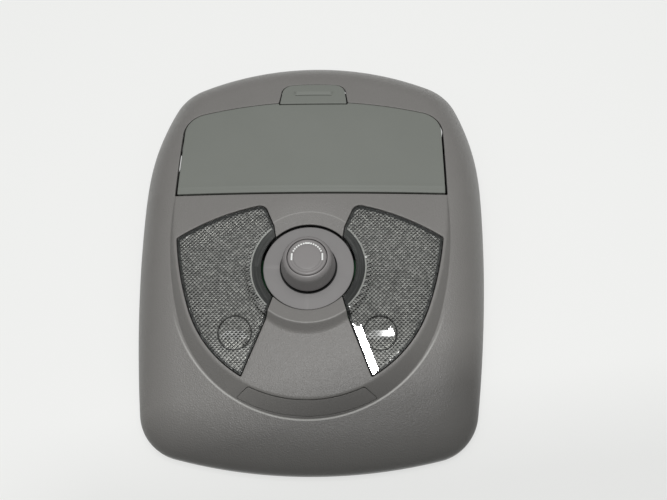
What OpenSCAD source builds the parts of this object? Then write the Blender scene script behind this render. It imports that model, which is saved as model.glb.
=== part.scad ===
// Overhead console of a car: two map lamps, a glasses holder with a lid, and a rotary roof knob.
// It lies on the rim of its back, face up. +Z is the cabin side and +Y points to the latch button.

/* [Shell] */
// Width of the console over its widest point
body_w = 217; // [205:0.5:230]
// Length of the console
body_l = 278; // [270:0.5:286]
// Height of the crown of the face above the rim
body_h = 40; // [37:0.5:46]
// Wall of the moulded shell
wall = 2.5; // [2:0.1:3]
// Upright lip round the rim
lip_h = 4; // [2:0.5:6]
// Width over which the face rolls down to the rim
roll_w = 26; // [22:0.5:28]
// Exponent of the rolled edge, where 2 is an ellipse
roll_power = 2.3; // [2:0.1:3]
// Distance from the middle of the length to the widest point
widest_y = 34; // [20:1:40]
// Arc radius of the sides above the widest point
side_r_top = 200; // [190:5:260]
// Arc radius of the sides below the widest point
side_r_bottom = 880; // [700:20:1100]
// Corner radius at the latch end
corner_r_top = 36; // [32:1:42]
// Corner radius at the lamp end
corner_r_bottom = 29; // [28:1:36]
// Arc radius of the latch end
end_r_top = 174; // [160:2:200]
// Arc radius of the lamp end
end_r_bottom = 317; // [280:5:360]

/* [Face] */
// Radius of the face's crown along the length
crown_ry = 700; // [600:20:1200]
// Radius of the face's crown across the width
crown_rx = 1450; // [1200:50:3000]
// Where along the length the crown is highest
crown_y = 29; // [20:1:38]

/* [Tongue with the lamps] */
// Place of the knob's axis along the length
knob_y = -26; // [-28:0.5:-24]
// Radius of the tongue round the knob's axis
tongue_r = 75.5; // [74:0.5:77]
// Arc radius of the tongue's flanks
flank_r = 200; // [180:5:260]
// Angle below the knob at which the flanks begin
flank_angle = 20; // [16:1:24]
// Height of the step round the tongue at its lower end
step_h = 8; // [6:0.5:9]
// Width of the sloping step at the tongue's lower end
step_run = 10; // [8:0.5:11]

/* [Dish and bezel] */
// Radius of the bezel round the knob
bezel_r = 26.6; // [25:0.1:27]
// Drop of the bezel's face below the crown
bezel_drop = 4; // [3.6:0.2:6]
// Thickness of the bezel
bezel_t = 2.2; // [1.6:0.1:3]
// Gap round the bezel
bezel_gap = 0.7; // [0.4:0.1:1]
// Radius of the dish's crest
crest_r = 35.7; // [34:0.1:37]
// Drop of the dish's crest below the crown
crest_drop = 0.4; // [0:0.1:2]
// Rounding of the dish's crest
crest_round = 1.6; // [1:0.1:2]
// Outer radius of the dish's ring at its foot
dish_foot_r = 41.5; // [40:0.1:43]

/* [Lenses] */
// Border of the tongue outside a lens
lens_border = 1.9; // [1.5:0.1:2.5]
// Arc radius of a lens's upper edge
lens_top_r = 144; // [130:2:160]
// Distance from the knob up to the crest of that edge
lens_top_y = 43; // [41:0.5:44.5]
// Half the gap between the lenses at their upper corners
lens_inner_x = 25; // [23:0.5:27]
// Half the gap between the lenses beside the bezel
lens_waist_x = 19.7; // [18:0.1:21]
// Half the gap between the lenses at their lower tips
lens_tip_x = 36.3; // [34:0.1:38]
// Thickness of a lens
lens_t = 2.2; // [1.6:0.1:2.6]
// Gap round a lens
lens_gap = 0.5; // [0.35:0.05:0.8]
// Distance of a lens's hinge line from its upper edge
lens_axis_in = 4; // [3:0.25:5]
// Drop of that hinge line under the lens's face
lens_axis_drop = 5.5; // [5.3:0.1:6]
// Radius of a lens's hinge pins
lens_pin_r = 1.2; // [0.8:0.1:1.5]
// Sideways place of the press mark and the switch below it
press_x = 41.6; // [38:0.2:43]
// Distance of the press mark below the knob
press_drop = 40; // [36:0.5:42]
// Radius of the press mark
press_r = 9.4; // [7:0.1:11]
// Depth of the press mark
press_depth = 0.6; // [0.3:0.1:0.8]

/* [Lid] */
// Width of the shell beside the lid
lid_margin = 26.1; // [24.5:0.1:28.5]
// Place of the lid's hinge edge along the length
lid_y = 23; // [22:0.2:25]
// Distance of the lid's latch edge from the shell's end
lid_top_in = 46.2; // [44:0.2:49]
// Arc radius of the lid's latch edge
lid_top_r = 290; // [260:5:340]
// Corner radius of the lid at the latch edge
lid_corner_r = 15; // [12:0.5:20]
// Thickness of the lid
lid_t = 1.8; // [1.5:0.1:1.9]
// Gap along the lid's hinge edge
lid_hinge_gap = 1.2; // [1.1:0.1:1.5]
// Gap round the rest of the lid
lid_gap = 0.7; // [0.5:0.1:1]
// Place of the lid's pivot along the length
pivot_y = 8; // [7.5:0.25:8.5]
// Drop of the lid's pivot below the crown
pivot_drop = 8; // [7.8:0.1:8.5]
// Radius of the pivot pin
pivot_r = 1.8; // [1.2:0.1:2]
// Radius of the hinge arm's eye
eye_r = 3; // [2.6:0.1:3.1]
// Distance of each hinge arm from the tray's side
arm_in = 7; // [6:0.5:13]
// Thickness of a hinge arm
arm_w = 5; // [4:0.2:6]

/* [Glasses tray and housing] */
// Width of the lid beside the tray
tray_margin = 9.4; // [8.4:0.1:12.4]
// Place of the tray's near wall along the length
tray_y = 31; // [30:0.5:33]
// Distance from the tray to the lid's latch edge
tray_end_in = 16.8; // [15.8:0.2:22]
// Height of the tray's open rim above the back
tray_z = 6; // [5:0.5:12]
// Drop of the tray's floor below the crown
tray_drop = 5.8; // [5.6:0.1:7]
// Wall of the tray
tray_wall = 2; // [1.5:0.1:2.5]
// Corner radius of the tray at its far side
tray_corner_r = 18; // [12:1:22]
// Thickness of the felt liner
liner_t = 1.2; // [0.8:0.1:2]
// Wall of the bin housing
bin_wall = 2; // [1.5:0.1:2.2]
// Gap between the tray and the housing's sides
bin_gap = 3; // [2:0.25:3.5]
// Height of the housing's back plate above the rim
bin_z = 1.5; // [1:0.25:2]

/* [Latch] */
// Width of the latch button
button_w = 43.8; // [40:0.2:46]
// Overlap of the button and the lid's latch edge
button_in = 1.3; // [0.8:0.1:1.8]
// Length of the button
button_l = 17; // [15:0.2:18]
// Gap round the button
button_gap = 0.5; // [0.4:0.05:0.7]
// Travel of the button and the hook
latch_travel = 2; // [1:0.25:2.25]
// Half width of the latch hook
hook_hw = 9; // [7:0.5:9.5]
// Width of the latch guide
guide_w = 38; // [37:0.5:40]
// Length of the latch guide
guide_l = 16; // [15:0.5:17]
// Drop of the hook's upper face below the crown
hook_drop = 9.2; // [9.1:0.1:9.8]
// Thickness of the hook
hook_t = 7.3; // [6:0.1:8]

/* [Knob] */
// Radius of the knob at its foot
knob_r = 17; // [15:0.25:18]
// Radius of the knob at its shoulder
knob_top_r = 14.7; // [14.2:0.1:15.2]
// Height of the knob
knob_h = 13; // [11:0.25:14]
// Running gap under the knob
knob_gap = 0.6; // [0.4:0.1:1]
// Radius of the push cap
cap_r = 12.2; // [10:0.1:12.3]
// Gap round the push cap
cap_gap = 0.3; // [0.25:0.05:0.5]
// Travel of the push cap
cap_travel = 1; // [0.5:0.1:1.5]
// Radius of the knob's shaft
shaft_r = 3; // [2.5:0.1:3.5]
// Running clearance of shafts and pins
run_gap = 0.05; // [0.03:0.01:0.08]

/* [Inside] */
// Height of the rear frame's underside
frame_z = 2; // [1.5:0.25:2.5]
// Thickness of the rear frame
frame_t = 2.5; // [2:0.1:3]
// Clearance between the rear frame and the shell's wall
frame_gap = 1.2; // [1:0.1:1.8]
// Height of the standoffs under the circuit board
standoff_h = 1; // [0.8:0.1:1.4]
// Width of the circuit board
board_w = 124; // [110:1:130]
// Length of the circuit board
board_l = 78; // [70:1:80]
// Thickness of the circuit board
board_t = 1.6; // [1.2:0.1:2]
// Height of the reflectors' floors
reflector_z = 14; // [13.8:0.1:15]
// Wall of the reflectors
reflector_t = 1.5; // [1.2:0.1:2]
// Radius of the rotary switch
switch_r = 20; // [16:0.5:22]
// Radius of a bulb's glass
bulb_r = 4.6; // [4:0.1:5]
// Radius of the screws' shanks
screw_r = 1.5; // [1.2:0.1:1.7]
// Spacing of the roof screws
roof_pitch = 50; // [40:1:56]
// Diameter of the roof screws' holes
roof_d = 5.5; // [4.5:0.1:6]

/* [Hidden] */
$fn = 72;

bezel_z = body_h - bezel_drop;
crest_z = body_h - crest_drop;
pivot_z = body_h - pivot_drop;
tray_top_z = body_h - tray_drop;
hook_z = body_h - hook_drop;
lid_w = body_w - 2 * lid_margin;
lid_top_y = body_l / 2 - lid_top_in;
tray_w = lid_w - 2 * tray_margin;
tray_l = lid_top_y - tray_end_in - tray_y;
arm_x = tray_w / 2 - arm_in;
button_y = lid_top_y - button_in;

// Gap between parts that must not touch while they move
clear = 0.3;
// Overlap of joined shapes within one solid
bite = 0.4;
half_w = body_w / 2;
half_l = body_l / 2;
frame_top = frame_z + frame_t;
board_z = frame_top + standoff_h;
board_top = board_z + board_t;
grey = [0.52, 0.51, 0.50];
dark = [0.16, 0.16, 0.17];
steel = [0.72, 0.73, 0.74];

// The crowned face that the lid, the tongue and the lenses share
function face_z(x, y) = body_h - (y - crown_y) * (y - crown_y) / (2 * crown_ry) - x * x / (2 * crown_rx);
function unit(a) = [cos(a), sin(a)];

// Angles at which a corner arc meets the side's arc and the end's arc
function reach(p) = sqrt(p[0] * p[0] + p[1] * p[1]);
function side_angle(p, a, b) = atan2(p[1], p[0])
    + acos((a * a + reach(p) * reach(p) - b * b) / (2 * a * reach(p)));
function end_angle(p, a, b) = let (q = a * unit(side_angle(p, a, b)) - p) atan2(q[1], q[0]);

// One quarter of the outline as [centre, radius, first angle, last angle] for side, corner and end
function quarter(side_r, corner_r, end_r, length) =
    let (p = [side_r - half_w, length - end_r], a = side_r - corner_r, b = end_r - corner_r,
        s = side_angle(p, a, b), e = end_angle(p, a, b))
    [[[half_w - side_r, 0], side_r, 0, s], [[half_w - side_r, 0] + a * unit(s), corner_r, s, e],
        [[0, length - end_r], end_r, e, 90]];
upper = quarter(side_r_top, corner_r_top, end_r_top, half_l - widest_y);
lower = quarter(side_r_bottom, corner_r_bottom, end_r_bottom, half_l + widest_y);

// Outline samples as [x, y, normal x, normal y], once round from the widest point on the right
function arc_samples(arc, n, flip) = [for (i = [0:n - 1]) let (k = flip > 0 ? i / n : 1 - i / n,
    u = unit(arc[2] + (arc[3] - arc[2]) * k)) [arc[0][0] + arc[1] * u[0],
    widest_y + flip * (arc[0][1] + arc[1] * u[1]), u[0], flip * u[1]]];
right_up = concat(arc_samples(upper[0], 4, 1), arc_samples(upper[1], 7, 1), arc_samples(upper[2], 6, 1));
right_down = concat(arc_samples(lower[2], 5, -1), arc_samples(lower[1], 7, -1), arc_samples(lower[0], 8, -1));
left_half = [for (i = [len(right_up) - 1:-1:1]) right_up[i]];
left_lower = [for (i = [len(right_down) - 1:-1:1]) right_down[i]];
function mirrored(p) = [-p[0], p[1], -p[2], p[3]];
top_mid = [0, half_l, 0, 1];
rim = concat(right_up, [top_mid], [for (p = left_half) mirrored(p)], [mirrored(right_up[0])],
    [for (p = left_lower) mirrored(p)], [right_down[0]], [for (i = [1:len(right_down) - 1]) right_down[i]]);
function inset_rim(d) = [for (p = rim) [p[0] - d * p[2], p[1] - d * p[3]]];

// Step down from the tongue to the lower shell, as a share that grows from the lid to the lamp end
step_top = lid_y + 1;
step_len = step_top - knob_y + tongue_r + step_run;
function step_share(y) = max(0, min(1, (step_top - y) / step_len));
function base_z(x, y) = face_z(x, y) - step_h * pow(step_share(y), 0.8);
function rolled(s) = pow(1 - pow(1 - min(1, s), roll_power), 1 / roll_power);

// A closed skin through rings of points; every ring has the same number of points
module skin(rings) {
    n = len(rings[0]);
    m = len(rings);
    faces = concat([[for (i = [0:n - 1]) i]], [[for (i = [n - 1:-1:0]) (m - 1) * n + i]],
        [for (j = [0:m - 2]) for (i = [0:n - 1]) [j * n + i, (j + 1) * n + i, j * n + (i + 1) % n]],
        [for (j = [0:m - 2]) for (i = [0:n - 1])
            [j * n + (i + 1) % n, (j + 1) * n + i, (j + 1) * n + (i + 1) % n]]);
    polyhedron([for (r = rings) for (p = r) p], faces, convexity = 8);
}

// The lower shell's dome, inset by a wall and lowered by the same wall
roll_steps = [0, 0.03, 0.1, 0.22, 0.4, 0.62, 0.82, 1];
module dome(inset, floor_z) {
    rolls = [for (s = roll_steps) [for (p = rim)
        let (d = inset + s * (roll_w - inset), x = p[0] - d * p[2], y = p[1] - d * p[3])
        [x, y, max(floor_z + 1, lip_h + (base_z(x, y) - lip_h) * rolled(s) - inset)]]];
    crowns = [for (k = [0.84, 0.5]) [for (p = rim)
        let (x = k * (p[0] - roll_w * p[2]), y = k * (p[1] - roll_w * p[3])) [x, y, base_z(x, y) - inset]]];
    foot = [[for (p = rim) [p[0] - inset * p[2], p[1] - inset * p[3], floor_z]]];
    skin(concat(foot, rolls, crowns));
}

// The tongue's outline: round below, then flanks that meet the lid's lower corners
flank_c = (tongue_r - flank_r) * unit(-flank_angle);
tongue_end_y = lid_y - knob_y + 1;
flank_end = asin((tongue_end_y - flank_c[1]) / flank_r);
flank_angles = [for (i = [0:8]) flank_end - i * (flank_end + flank_angle) / 8];
round_angles = [for (i = [1:11]) -flank_angle - i * (90 - flank_angle) / 11];
function tongue_half(grow) = concat([for (a = flank_angles) flank_c + (flank_r + grow) * unit(a)],
    [for (a = round_angles) (tongue_r + grow) * unit(a)]);
function both_halves(pts) = concat(pts, [for (i = [len(pts) - 2:-1:0]) [-pts[i][0], pts[i][1]]]);
function run_at(y) = 0.4 + (step_run - 0.4) * step_share(y);
function outward(p, d) = let (u = p[1] > -tongue_r * sin(flank_angle)
    ? (p - [sign(p[0]) * flank_c[0], flank_c[1]]) : p) p + d * u / reach(u);

module tongue(inset, floor_z) {
    edge = [for (p = both_halves(tongue_half(-inset))) [p[0], p[1] + knob_y]];
    foot = [for (p = edge) let (q = outward([p[0], p[1] - knob_y], run_at(p[1]))) [q[0], q[1] + knob_y]];
    rings = [[for (q = foot) [q[0], q[1], floor_z]],
        [for (i = [0:len(foot) - 1]) [foot[i][0], foot[i][1], base_z(foot[i][0], foot[i][1]) - 1 - inset]],
        [for (p = edge) [p[0], p[1], face_z(p[0], p[1]) - inset]]];
    crowns = [for (k = [0.82, 0.6, 0.36, 0.12]) [for (p = edge)
        let (x = k * p[0], y = knob_y + k * (p[1] - knob_y)) [x, y, face_z(x, y) - inset]]];
    skin(concat([for (r = rings) [for (i = [len(r) - 1:-1:0]) r[i]]],
        [for (r = crowns) [for (i = [len(r) - 1:-1:0]) r[i]]]));
}

// A block under the face, from the heights low and high below it, over a rectangle of cells
module face_block(x0, x1, y0, y1, high, low, cells) {
    nx = ceil((x1 - x0) / cells);
    ny = ceil((y1 - y0) / cells);
    grid = function (d) [for (j = [0:ny]) for (i = [0:nx])
        let (x = x0 + (x1 - x0) * i / nx, y = y0 + (y1 - y0) * j / ny) [x, y, face_z(x, y) - d]];
    at = function (i, j) j * (nx + 1) + i;
    lift = (nx + 1) * (ny + 1);
    top = [for (j = [0:ny - 1]) for (i = [0:nx - 1])
        each [[at(i, j), at(i, j + 1), at(i + 1, j)], [at(i + 1, j), at(i, j + 1), at(i + 1, j + 1)]]];
    bottom = [for (t = top) [t[2] + lift, t[1] + lift, t[0] + lift]];
    edge = concat([for (i = [0:nx - 1]) at(i, 0)], [for (j = [0:ny - 1]) at(nx, j)],
        [for (i = [nx:-1:1]) at(i, ny)], [for (j = [ny:-1:1]) at(0, j)]);
    n = len(edge);
    sides = [for (k = [0:n - 1]) each [[edge[k], edge[(k + 1) % n], edge[(k + 1) % n] + lift],
        [edge[k], edge[(k + 1) % n] + lift, edge[k] + lift]]];
    polyhedron(concat(grid(high), grid(low)), concat(top, bottom, sides), convexity = 6);
}

module at_knob() translate([0, knob_y, 0]) children();

// Section of the dish's ring as radius and height: cone, rounded crest and outer slope
dish_r = bezel_r + bezel_gap;
dish_foot_z = face_z(0, knob_y - dish_foot_r) - 1;
crest_arc = [for (a = [120, 90, 55]) [crest_r + crest_round * cos(a), crest_z + crest_round * (sin(a) - 1)]];
module dish_ring(t) at_knob() rotate_extrude($fn = 60) polygon(concat([[dish_r, bezel_z]], crest_arc,
    [[dish_foot_r, dish_foot_z], [dish_foot_r - t, dish_foot_z], [crest_r, crest_z - 1.2 * t],
    [dish_r, bezel_z - t]]));

// Outline of the right lens about the knob, shrunk by a gap g
lens_out_r = tongue_r - lens_border;
top_c = [0, lens_top_y - lens_top_r];
inner_round = 5.4;
// The right-hand crossing of two circles
function meet(c, r, d, q) = let (v = d - c, m = reach(v), k = (r * r - q * q + m * m) / (2 * m),
    h = sqrt(r * r - k * k)) c + k * v / m + h * [-v[1], v[0]] / m;
function lens_corner(g) = meet(flank_c, flank_r - lens_border - g, top_c, lens_top_r - g);
function angle_of(p) = atan2(p[1], p[0]);
inner_beta = acos((lens_inner_x + inner_round) / (lens_top_r - inner_round));
inner_c = top_c + (lens_top_r - inner_round) * unit(inner_beta);
function waist_half(g) = sqrt(pow(dish_r + g, 2) - pow(lens_waist_x + g, 2));
knee = [lens_waist_x + 3.3, -30.5];
tip = [lens_tip_x, -sqrt(lens_out_r * lens_out_r - lens_tip_x * lens_tip_x)];
tip_dir = (tip - knee) / reach(tip - knee);
tip_in = [-tip_dir[1], tip_dir[0]];
function lens_tip(g) = let (p = knee + g * tip_in, q = p * tip_dir) p + tip_dir * (sqrt(q * q - p * p
    + pow(lens_out_r - g, 2)) - q);
function lens_points(g) = let (c = lens_corner(g), ca = angle_of(c - top_c),
    w = angle_of([lens_waist_x + g, waist_half(g)]), ta = angle_of(lens_tip(g)), fa = angle_of(c - flank_c))
    concat([for (i = [0:4]) top_c + (lens_top_r - g) * unit(ca + i * (inner_beta - ca) / 4)],
    [for (i = [1:4]) inner_c + (inner_round - g) * unit(inner_beta + i * 22)],
    [[lens_waist_x + 1.3 + g, 26]], [for (i = [0:6]) (dish_r + g) * unit(w * (1 - i / 3))],
    [knee + g * tip_in],
    [for (i = [0:5]) (lens_out_r - g) * unit(ta + i * (-flank_angle - ta) / 5)],
    [for (i = [1:3]) flank_c
        + (flank_r - lens_border - g) * unit(-flank_angle + i * (fa + flank_angle) / 4)]);
module lens_outline(g) at_knob() polygon(lens_points(g));

// Parts of the lid's outline; grow widens it to the opening in the shell
lid_hw = lid_w / 2;
lid_c = lid_top_y - lid_top_r;
corner_a = acos((lid_hw - lid_corner_r) / (lid_top_r - lid_corner_r));
corner_y = lid_c + (lid_top_r - lid_corner_r) * sin(corner_a);
function lid_half(g) = concat([for (i = [0:5]) [lid_hw - lid_corner_r, corner_y]
    + (lid_corner_r + g) * unit(i * corner_a / 5)],
    [for (i = [1:5]) [0, lid_c] + (lid_top_r + g) * unit(corner_a + i * (90 - corner_a) / 5)]);
function lid_points(g, hinge_g) = concat([[lid_hw + g, lid_y - hinge_g]], lid_half(g),
    [for (i = [len(lid_half(g)) - 2:-1:0]) [-lid_half(g)[i][0], lid_half(g)[i][1]]],
    [[-lid_hw - g, lid_y - hinge_g]]);

// Outline of the latch button
button_hw = button_w / 2;
button_top = button_y + button_l;
function button_half(g) = concat([[button_hw + g, button_y - g], [button_hw - 0.8 + g, button_y + 6.5]],
    [for (i = [0:3]) [button_hw - 8.5, button_top - 8] + (7.4 + g) * unit(18 + i * 20)],
    [[6, button_top + g - 0.1]]);
function button_points(g) = concat(button_half(g),
    [for (i = [len(button_half(g)) - 1:-1:0]) [-button_half(g)[i][0], button_half(g)[i][1]]]);

// Places of the screws: four for the rear frame, four for the bin housing, two for the latch guide
screw_in = 19.5;
side_x = half_w - screw_in;
frame_screw_xy = [for (p = [[side_x - 3, -10], [side_x - 19, screw_in + 15.5 - half_l]])
    for (s = [1, -1]) [s * p[0], p[1]]];
bin_screw_xy = [for (y = [tray_y + 5, tray_y + tray_l + 2]) for (s = [1, -1]) [s * side_x, y]];
stem_y = button_y + button_l / 2;
guide_y = stem_y - guide_l / 2 + 0.6;
guide_screw_xy = [[guide_w / 2 + 8, stem_y], [-guide_w / 2 - 8, stem_y]];
bin_top = bin_z + bin_wall;
guide_ear_z = body_h - 12;
roof_xy = [[-roof_pitch / 2, knob_y - 79], [roof_pitch / 2, knob_y - 79]];

// Cover in the step: a sector between two radii, with its ends cut off straight
cover_a = 27;
cover_in = tongue_r - 0.6;
module cover_sector(g) at_knob() rotate([0, 0, -90]) linear_extrude(height = body_h)
    polygon(concat([for (i = [-6:6]) (cover_in - g) * unit(i * cover_a / 6 + sign(i) * g * 0.4)],
        [for (i = [6:-1:-6]) (cover_in + 8.4 + g) * unit(i * cover_a / 6 + sign(i) * g * 0.4)]));

module shell_outer() {
    dome(0, 0);
    tongue(0, 6);
}
module shell_inner() {
    dome(wall, -1);
    tongue(wall, -1);
    at_knob() cylinder(r = crest_r - 0.4, h = body_h * 2, $fn = 60);
}
module shell_openings() {
    translate([0, 0, -1]) linear_extrude(height = body_h + 10) polygon(lid_points(lid_gap, lid_hinge_gap));
    translate([0, 0, 10]) linear_extrude(height = body_h) polygon(button_points(button_gap));
    translate([0, 0, 8]) linear_extrude(height = body_h) lens_outline(0);
    translate([0, 0, 8]) linear_extrude(height = body_h) mirror([1, 0, 0]) lens_outline(0);
    translate([0, knob_y, 8]) cylinder(r = dish_r + 0.1, h = body_h, $fn = 60);
    cover_sector(0.3);
}
module screw_boss(p, z) translate([p[0], p[1], z]) difference() {
    hull() {
        cylinder(r = 3.4, h = 4, $fn = 24);
        cylinder(r = 4.4, h = body_h, $fn = 24);
    }
    translate([0, 0, -1]) cylinder(r = screw_r + run_gap, h = 13, $fn = 24);
}
// Upright gussets inside the rolled edge
module gusset(k) {
    p = rim[k];
    hull() {
        for (q = [[wall, frame_top + 1], [9, 14]]) translate([p[0] - q[0] * p[2], p[1] - q[0] * p[3], q[1]])
            cylinder(r = 0.7, h = body_h, $fn = 8);
    }
}
gussets = [for (k = [0.03, 0.1, 0.19, 0.31, 0.4, 0.47, 0.54, 0.6, 0.69, 0.81, 0.9, 0.96])
    floor(k * len(rim))];
module shell() color(grey) difference() {
    union() {
        difference() {
            shell_outer();
            shell_inner();
        }
        dish_ring(wall);
        intersection() {
            union() {
                for (p = frame_screw_xy) screw_boss(p, frame_top);
                for (p = bin_screw_xy) screw_boss(p, bin_top);
                for (p = guide_screw_xy) screw_boss(p, guide_ear_z + 2);
                for (k = gussets) gusset(k);
            }
            shell_outer();
        }
    }
    shell_openings();
}

// Plate that carries the lamps and is screwed to the console and to the roof
frame_end_y = 1;
roof_boss_h = 9;
cover_z = frame_z + roof_boss_h + 3;
frame_in = wall + frame_gap;
frame_end_x = half_w - side_r_bottom
    + sqrt(pow(side_r_bottom - frame_in, 2) - pow(widest_y - frame_end_y, 2));
module rear_frame() color(dark) difference() {
    union() {
        translate([0, 0, frame_z]) linear_extrude(height = frame_t)
            polygon(concat([[-frame_end_x, frame_end_y]],
                [for (p = inset_rim(frame_in)) if (p[1] < frame_end_y - 2) p], [[frame_end_x, frame_end_y]]));
        for (p = roof_xy) translate([p[0], p[1], frame_z]) cylinder(r = roof_d / 2 + 2.2, h = roof_boss_h);
        for (s = [-1, 1]) for (y = [-board_l, -14]) translate([s * (board_w / 2 - 6), y, frame_z])
            cylinder(r = 3, h = frame_t + standoff_h);
    }
    for (p = roof_xy) translate([p[0], p[1], 0]) cylinder(r = roof_d / 2, h = 20);
    for (p = frame_screw_xy) translate([p[0], p[1], 0]) cylinder(r = screw_r + 0.3, h = 10);
    translate([-socket_w / 2 - 0.5, socket_y - 0.5, 0]) cube([socket_w + 1, socket_l + 1, 10]);
    for (s = [-1, 1]) translate([s * 34 - 12, -64, 0]) cube([24, 40, 10]);
}

// Crescent cover over the roof screws, with two clip legs
module screw_cover() color(grey) {
    intersection() {
        difference() {
            tongue(0, 6);
            tongue(1.8, 0);
        }
        cover_sector(0);
        translate([-half_w, -half_l, cover_z]) cube([body_w, half_l, body_h]);
    }
    for (s = [-1, 1]) translate([s * 24 - 2, knob_y - cover_in - 0.8, cover_z])
        cube([4, 1.4, body_h - 16 - cover_z]);
}

module switch_bezel() color(grey) at_knob() rotate_extrude() polygon([[shaft_r + 5.4, bezel_z - bezel_t],
    [shaft_r + 5.4, bezel_z], [bezel_r - 0.5, bezel_z], [bezel_r, bezel_z - 0.5], [bezel_r, bezel_z - 8],
    [bezel_r - 1.8, bezel_z - 8], [bezel_r - 1.8, bezel_z - bezel_t]]);

switch_top = bezel_z - bezel_t;
module switch_body() color(dark) at_knob() difference() {
    union() {
        translate([0, 0, board_top]) cylinder(r = switch_r, h = switch_top - board_top);
        translate([0, 0, board_top]) cylinder(r = shaft_r + 5, h = bezel_z + knob_gap - board_top);
        for (a = [45:90:315]) rotate([0, 0, a]) translate([switch_r - 1, -2.5, board_top]) cube([4, 5, 14]);
    }
    translate([0, 0, board_top + 3]) cylinder(r = shaft_r + run_gap, h = body_h);
}
module knob_shaft() color(steel) at_knob() translate([0, 0, board_top + 3.4])
    cylinder(r = shaft_r, h = knob_z + knob_h - 6 - board_top - 3.4);

knob_z = bezel_z + knob_gap;
knob_top = knob_z + knob_h;
cap_floor = knob_top - 3.6;
module knob() color(grey) at_knob() difference() {
    rotate_extrude() polygon(concat([[0, knob_z], [knob_r - 0.4, knob_z], [knob_r, knob_z + 0.5],
        [knob_r - 0.3, knob_z + 2.6]], [for (i = [0:4]) [knob_top_r - 2 + 2 * cos(20 + i * 17.5),
        knob_top - 2 + 2 * sin(20 + i * 17.5)]], [[0, knob_top]]));
    translate([0, 0, cap_floor]) cylinder(r = cap_r + cap_gap, h = 10);
    translate([0, 0, knob_z - 1]) difference() {
        cylinder(r = knob_top_r - 2, h = cap_floor - knob_z - 1.6);
        translate([0, 0, 2.4]) cylinder(r = shaft_r + 2, h = 20);
    }
    translate([0, 0, knob_z - 1]) cylinder(r = shaft_r + 5 + clear, h = 3.4 + clear);
    translate([0, 0, knob_z - 1]) cylinder(r = shaft_r + 0.01, h = knob_h - 5);
}
module knob_cap() color(grey) at_knob() rotate_extrude() polygon(concat([[0, cap_floor + cap_travel + clear],
    [cap_r, cap_floor + cap_travel + clear]], [[cap_r, knob_top - 0.6], [cap_r - 0.6, knob_top]],
    [for (i = [1:4]) [(cap_r - 0.6) * (1 - i / 4), knob_top + 0.5 * sin(i * 22.5)]]));

// Open trough under a lens, with a hole for the switch and one for the bulb
press_y = knob_y - press_drop;
bulb_x = 50;
bulb_y = knob_y - 4;
hinge_ends = [lens_corner(0), top_c + lens_top_r * unit(inner_beta)];
hinge_mid = (hinge_ends[0] + hinge_ends[1]) / 2;
hinge_a = angle_of(hinge_ends[0] - hinge_ends[1]);
hinge_xy = hinge_mid + lens_axis_in * unit(hinge_a - 90);
hinge_z = face_z(hinge_xy[0], hinge_xy[1] + knob_y) - lens_axis_drop;
pin_half = 20;
module at_hinge() translate([hinge_xy[0], hinge_xy[1] + knob_y, hinge_z]) rotate([0, 0, hinge_a]) children();
ear_t = 2;
module reflector() difference() {
    union() {
        difference() {
            intersection() {
                translate([0, 0, reflector_z]) linear_extrude(height = body_h) lens_outline(1.2);
                face_block(10, 90, -102, 20, 6, 30, 10);
            }
            translate([0, 0, reflector_z + reflector_t]) linear_extrude(height = body_h)
                lens_outline(1.2 + reflector_t);
            at_knob() cylinder(r = crest_r + 1.2, h = 2 * body_h);
        }
        at_hinge() for (s = [-1, 1])
            translate([s * (pin_half - 1.6) - ear_t / 2, -2.6, reflector_z - hinge_z])
                cube([ear_t, 5.2, hinge_z - reflector_z + lens_pin_r + 0.6]);
    }
    at_hinge() rotate([0, 90, 0]) cylinder(r = lens_pin_r + run_gap, h = 80, center = true);
    translate([press_x, press_y, 0]) cylinder(r = 3.2, h = body_h);
    translate([bulb_x, bulb_y, 0]) cylinder(r = 6, h = body_h);
}
module reflector_right() color([0.9, 0.9, 0.88]) reflector();
module reflector_left() color([0.9, 0.9, 0.88]) mirror([1, 0, 0]) reflector();

// Lens: the face's skin, the dish's wall beside the bezel, a press mark and two hinge pins
function lug_top(x) = let (p = hinge_xy + x * unit(hinge_a))
    face_z(p[0], p[1] + knob_y) - hinge_z - lens_t / 2;
module lens() difference() {
    union() {
        intersection() {
            linear_extrude(height = body_h + 5) lens_outline(lens_gap);
            union() {
                difference() {
                    face_block(10, 90, -102, 20, 0, lens_t, 8);
                    at_knob() cylinder(r = crest_r, h = 3 * body_h, center = true);
                }
                intersection() {
                    dish_ring(lens_t);
                    union() {
                        at_knob() cylinder(r = crest_r + 0.5, h = 2 * body_h);
                        face_block(10, 90, -102, 20, -8, lens_t + 0.6, 16);
                    }
                }
            }
        }
        at_hinge() for (x = [4 - pin_half, pin_half - 4]) {
            translate([x - 1.2, -1.6, -lens_pin_r]) cube([2.4, 3.2, lug_top(x) + lens_pin_r]);
            translate([x * (1 + 1.4 / (pin_half - 4)), 0, 0]) rotate([0, 90, 0])
                cylinder(r = lens_pin_r, h = 4.4, center = true);
        }
    }
    translate([press_x, press_y, face_z(press_x, press_y) - press_depth])
        rotate([press_tilt, 0, 0]) cylinder(r = press_r, h = 5);
}
press_tilt = atan((crown_y - press_y) / crown_ry);
module lens_right() color([0.75, 0.76, 0.76]) lens();
module lens_left() color([0.75, 0.76, 0.76]) mirror([1, 0, 0]) lens();

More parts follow.
